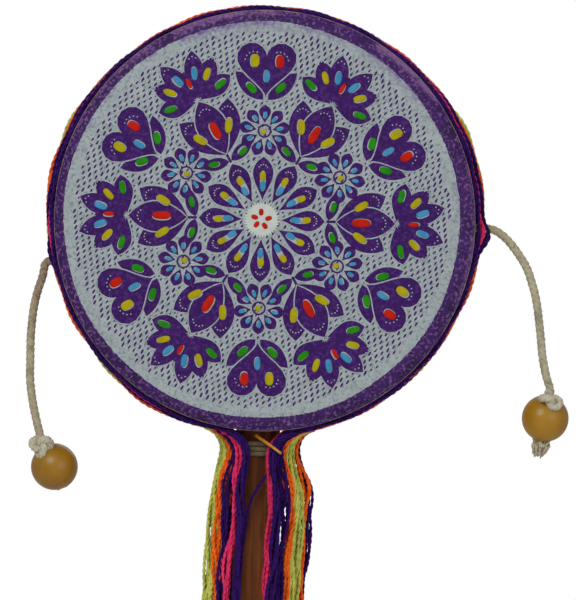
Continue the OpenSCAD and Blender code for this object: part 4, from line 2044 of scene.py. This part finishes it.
@dataclass
class PelletCord:
    """A cotton cord with its knots and the pellet on its end."""

    lie: CordLie
    diameter: float = 2.8
    pellet_radius: float = 7.5
    pellet_tip: float = 15.0
    knot_share: float = 1.4
    knot_seat: float = 2.0
    tail_share: float = 0.7
    hole_ends: Point2 = (-2.0, 1.0)
    rim_point: int = 5
    bend_reach: float = 3.2
    rim_reach: float = 3.5
    wisps: int = 150
    wisp_sides: int = 5
    wisp_spread: float = 2.8
    wisp_closing: float = 0.34
    wisp_curl: float = 0.2
    wisp_shortest: float = 0.85
    step: float = 0.5
    seed: int = 31

    @property
    def knot_radius(self) -> float:
        """Radius of the space that a knot fills."""
        return self.knot_share * self.diameter

    @property
    def name(self) -> str:
        """The side's name, with which the names of the pieces start."""
        return self.lie.side.name.lower()

    def build(self, finishes: Finishes, loom: Loom) -> None:
        """Make the cord's stretches and knots and dress the pellet."""
        name = self.name
        dress(f"{name}_pellet", finishes.lacquered_wood)
        anchor, route = self.places()
        rim = route[self.rim_point]
        turning = route[0].lerp(route[1], 0.5)
        line = Line.through(rounded([*anchor, *route]), self.step, Vector((0, 1, 0)))
        first_cut = line.nearest(turning)
        second_cut = line.nearest(route[2])
        before = line.nearest(route[0]) - self.bend_reach * MM
        lifts = line.part(before, before + MM).points[0]
        way = (route[self.rim_point + 1] - rim).normalized() * self.rim_reach * MM
        fall_line = line.part(second_cut, line.along[-1])
        stretches = (
            ("exit", line.part(0.0, first_cut), "drum", f"{name}_root", lifts, turning),
            (
                "bend", line.part(first_cut, second_cut), f"{name}_root", f"{name}_upper",
                turning, route[2],
            ),
            ("fall", fall_line, f"{name}_upper", f"{name}_lower", rim - way, rim + way),
        )
        for label, part, first, second, start, end in stretches:
            piece = loom.cord(f"{name}_cord_{label}", [part], CORD_LAY, finishes.cotton[self.lie.side])
            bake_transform(piece)
            report(piece)
        knots = self.knots(route, finishes, loom)
        anchor_nodes = [f"{name}_anchor_knot"] + ([f"{name}_cord_lead"] if self.lie.stub else [])
        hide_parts(*anchor_nodes, f"{name}_cord_root")
        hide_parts(f"{name}_cord_upper")
        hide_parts(f"{name}_cord_upper", f"{name}_cord_lower")
        LOG.info("%s cord, %.1f mm from the hoop to its knot", name, line.length / MM)

    def out(self, radius: float) -> Vector:
        """A point at a radius along the cord's hole, in metres."""
        angle = math.radians(self.lie.exit_angle)
        right = self.lie.side.value * radius * math.cos(angle)
        return placed(right, 0.0, -radius * math.sin(angle))

    def places(self) -> tuple[list[Vector], list[Vector]]:
        """Where the cord runs.

        Returns:
            Its points inside the hoop and out to where it lifts, and those from there
            to the knot above the pellet.
        """
        inside = DRUM.hoop_radius - DRUM.hoop_wall - self.knot_radius
        surface = self.out(DRUM.yarn_surface)
        sign = self.lie.side.value
        anchor = [self.out(inside), *(self.out(DRUM.hoop_radius + end) for end in self.hole_ends)]
        if self.lie.stub:
            anchor.append(surface)
        for right, down in self.lie.stub:
            anchor.append(surface + Vector((sign * right, 0, -down)) * MM)
        start = surface + Vector((sign * self.lie.start[0], 0, -self.lie.start[1])) * MM
        route = [
            start + Vector((sign * out, -front, -down)) * MM for out, down, front in self.lie.route
        ]
        return anchor, route

    def hole_way(self) -> Vector:
        """The direction up through the pellet's hole."""
        turn, tip = math.radians(self.lie.pellet_turn), math.radians(self.pellet_tip)
        right = self.lie.side.value * math.sin(turn)
        return Vector((right, -math.sin(tip) * math.cos(turn), math.cos(tip) * math.cos(turn)))

    def knots(self, route: Sequence[Vector], finishes: Finishes, loom: Loom) -> list[Piece]:
        """Make the knots above and below the pellet, the cord between them and the one inside.

        Args:
            route: the points of the hanging cord.
            finishes: the materials.
            loom: what lays them up.

        Returns:
            The knots that go with the cord.
        """
        name = self.name
        lie = self.lie
        knotted = finishes.knotted_cotton
        up = self.hole_way()
        top = route[-1]
        away = self.pellet_radius - self.knot_seat + self.knot_radius + DRUM.glue_gap
        middle = top - up * away * MM
        bow = top + Vector((0.0, -lie.knot_sag, -lie.knot_sag)) * MM
        tail_radius = self.tail_share * self.knot_radius
        tail_away = self.pellet_radius - lie.tail_seat + tail_radius + DRUM.glue_gap
        tail = middle - up * tail_away * MM
        upper_line = knot_line(bow, self.knot_radius, lie.knot_tilt, up)
        upper = loom.cord(f"{name}_upper_knot", [upper_line], KNOT_LAY, knotted)
        through = Line.through([top, middle, tail], self.step, Vector((0, 1, 0)))
        core = loom.cord(f"{name}_cord_through_pellet", [through], CORD_LAY, knotted)
        lower_line = knot_line(tail, tail_radius, lie.tail_tilt, up)
        lower = loom.cord(f"{name}_tail_knot", [lower_line], TAIL_LAY, knotted)
        held = [upper, core, lower]
        if lie.fray:
            held.append(self.frayed_end(tail, -up, finishes.cotton[lie.side]))
        for piece in held:
            settle(piece, f"{name}_lower", "cotton")
        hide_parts(f"{name}_pellet_knots")
        inside = self.out(DRUM.hoop_radius - DRUM.hoop_wall - self.knot_radius - DRUM.glue_gap)
        inner_line = knot_line(inside, self.knot_radius, INNER_TILT, up)
        inner = loom.cord(f"{name}_inner_knot", [inner_line], KNOT_LAY, knotted)
        settle(inner, "drum", "cotton")
        return held

    def frayed_end(self, root: Vector, way: Vector, finish: Material) -> Piece:
        """Make the frayed end of the cord, as a brush of thin wisps."""
        chance = random.Random(self.seed + self.lie.side.value)
        work = bmesh.new()
        for _ in range(self.wisps):
            spread = Vector([chance.uniform(-1, 1) for _ in range(3)])
            start = root + spread * self.wisp_spread * MM
            heading = (way - self.wisp_closing * spread).normalized()
            curl = self.wisp_curl * Vector([chance.uniform(-1, 1) for _ in range(3)])
            length = self.lie.fray * chance.uniform(self.wisp_shortest, 1.0) * MM
            points = [start + heading * length * t + curl * length * t * t for t, _ in WISP]
            add_tube(work, points, [radius * MM for _, radius in WISP], self.wisp_sides)
        return mesh_object(f"{self.name}_frayed_end", work, finish, smooth=True)


def knot_line(middle: Vector, radius: float, tilt: Point3, up: Vector) -> Line:
    """Draw the closed run of a drawn-up overhand knot.

    Args:
        middle: the knot's middle in metres.
        radius: the radius of the space that it fills.
        tilt: its turns about X, Y and Z in degrees, from lying flat on the pellet.
        up: the direction out of the pellet's hole.

    Returns:
        The line, whose ends meet.
    """
    count, step = 90, 0.45
    size = 0.27 * radius
    rise = 0.26 * radius
    seat = up.to_track_quat("Z", "Y").to_matrix()
    turn = Matrix.Identity(3)
    for axis, angle in zip("XYZ", tilt):
        turn = Matrix.Rotation(math.radians(angle), 3, axis) @ turn
    knots = []
    for i in range(count + 1):
        t = TURN * i / count
        right = size * (math.sin(t) + 2 * math.sin(2 * t))
        back = size * (math.cos(t) - 2 * math.cos(2 * t))
        knots.append(middle + seat @ (turn @ Vector((right, back, -rise * math.sin(3 * t)))) * MM)
    return Line.through(knots, step, Vector((0.2, 1.0, 0.1)))


# The studio

@dataclass(frozen=True)
class Lamp:
    """A round soft lamp: its place and size in metres, and its power."""

    name: str
    place: Point3
    size: float
    power: float


@dataclass
class Studio:
    """The camera, the floor, the soft light and the white surroundings."""

    distance: float = 2.5
    view_right: float = 7.38
    view_up: float = -25.16
    view_height: float = 192.0
    elevation: float = -0.5
    roll: float = 1.85
    sensor: float = 36.0
    floor_radius: float = 0.5
    floor_sides: int = 96
    mirrored_white: float = 0.45
    around_light: float = 0.38
    aim_share: float = 0.8
    lamps: tuple[Lamp, ...] = (
        Lamp("key", (-0.45, -0.95, 0.75), 0.7, 6.6),
        Lamp("fill", (0.6, -0.9, 0.3), 0.8, 2.5),
        Lamp("back", (0.3, 0.9, 0.7), 0.7, 1.0),
    )

    def build(self) -> None:
        """Set up the studio."""
        self.camera()
        self.floor()
        self.surroundings()
        for lamp in self.lamps:
            self.light(lamp)
        bpy.context.scene.view_settings.view_transform = "Standard"

    def camera(self) -> None:
        """Place the camera in front, looking up by half a degree and rolled a little."""
        aim_lift = math.radians(self.elevation)
        roll = math.radians(self.roll)
        right = self.view_right * math.cos(roll) - self.view_up * math.sin(roll)
        up = self.view_right * math.sin(roll) + self.view_up * math.cos(roll)
        back = Vector((0.0, -math.cos(aim_lift), math.sin(aim_lift)))
        data = bpy.data.cameras.new("view")
        data.sensor_width = self.sensor
        data.lens = self.sensor * self.distance / (self.view_height * MM)
        camera = bpy.data.objects.new("view", data)
        camera.location = placed(right, 0.0, up) + back * self.distance
        turn = (-back).to_track_quat("-Z", "Y").to_matrix() @ Matrix.Rotation(roll, 3, "Z")
        camera.rotation_euler = turn.to_euler()
        bpy.context.scene.collection.objects.link(camera)
        bpy.context.scene.camera = camera

    def floor(self) -> None:
        """Lay a plain pale floor under the stick's end."""
        work = bmesh.new()
        bmesh.ops.create_circle(
            work, cap_ends=True, radius=self.floor_radius, segments=self.floor_sides
        )
        for vertex in work.verts:
            vertex.co.z = STICK.low_end * MM
        piece = mesh_object("floor", work, FLOOR.make(), smooth=False)

    def surroundings(self) -> None:
        """Make the world white where the camera sees it, and a soft grey light elsewhere."""
        world = bpy.data.worlds.new("studio")
        bpy.context.scene.world = world
        world.use_nodes = True
        w = Wiring(world.node_tree)
        path = w.add("ShaderNodeLightPath").outputs
        seen = w.maths("MAXIMUM", path["Is Camera Ray"], path["Is Transmission Ray"])
        mirrored = w.product(path["Is Glossy Ray"], self.mirrored_white)
        strength = w.maths("MAXIMUM", w.maths("MAXIMUM", seen, mirrored), self.around_light)
        background = world.node_tree.nodes["Background"]
        w.fill(background, {"Strength": strength, "Color": (1.0, 1.0, 1.0, 1.0)})

    def light(self, lamp: Lamp) -> None:
        """Hang a soft lamp that faces the drum."""
        data = bpy.data.lights.new(lamp.name, "AREA")
        data.shape = "DISK"
        data.size = lamp.size
        data.energy = lamp.power
        piece = bpy.data.objects.new(lamp.name, data)
        piece.location = lamp.place
        aim = Vector((0.0, 0.0, DRUM.middle * MM * self.aim_share)) - piece.location
        piece.rotation_euler = aim.to_track_quat("-Z", "Y").to_euler()
        bpy.context.scene.collection.objects.link(piece)


def main() -> None:
    """Build the studio and every sub-assembly, the camera and the cords first."""
    logging.basicConfig(level=logging.INFO, format="%(message)s")
    Studio().build()
    finishes = Finishes()
    loom = Loom()
    for lie in CORDS:
        PelletCord(lie).build(finishes, loom)
    YarnTrim().build(finishes, loom)
    HoopAndStick().build(finishes, loom)
    for face in Face:
        PrintedHead(face).build(finishes, loom)


if __name__ == "__main__":
    main()
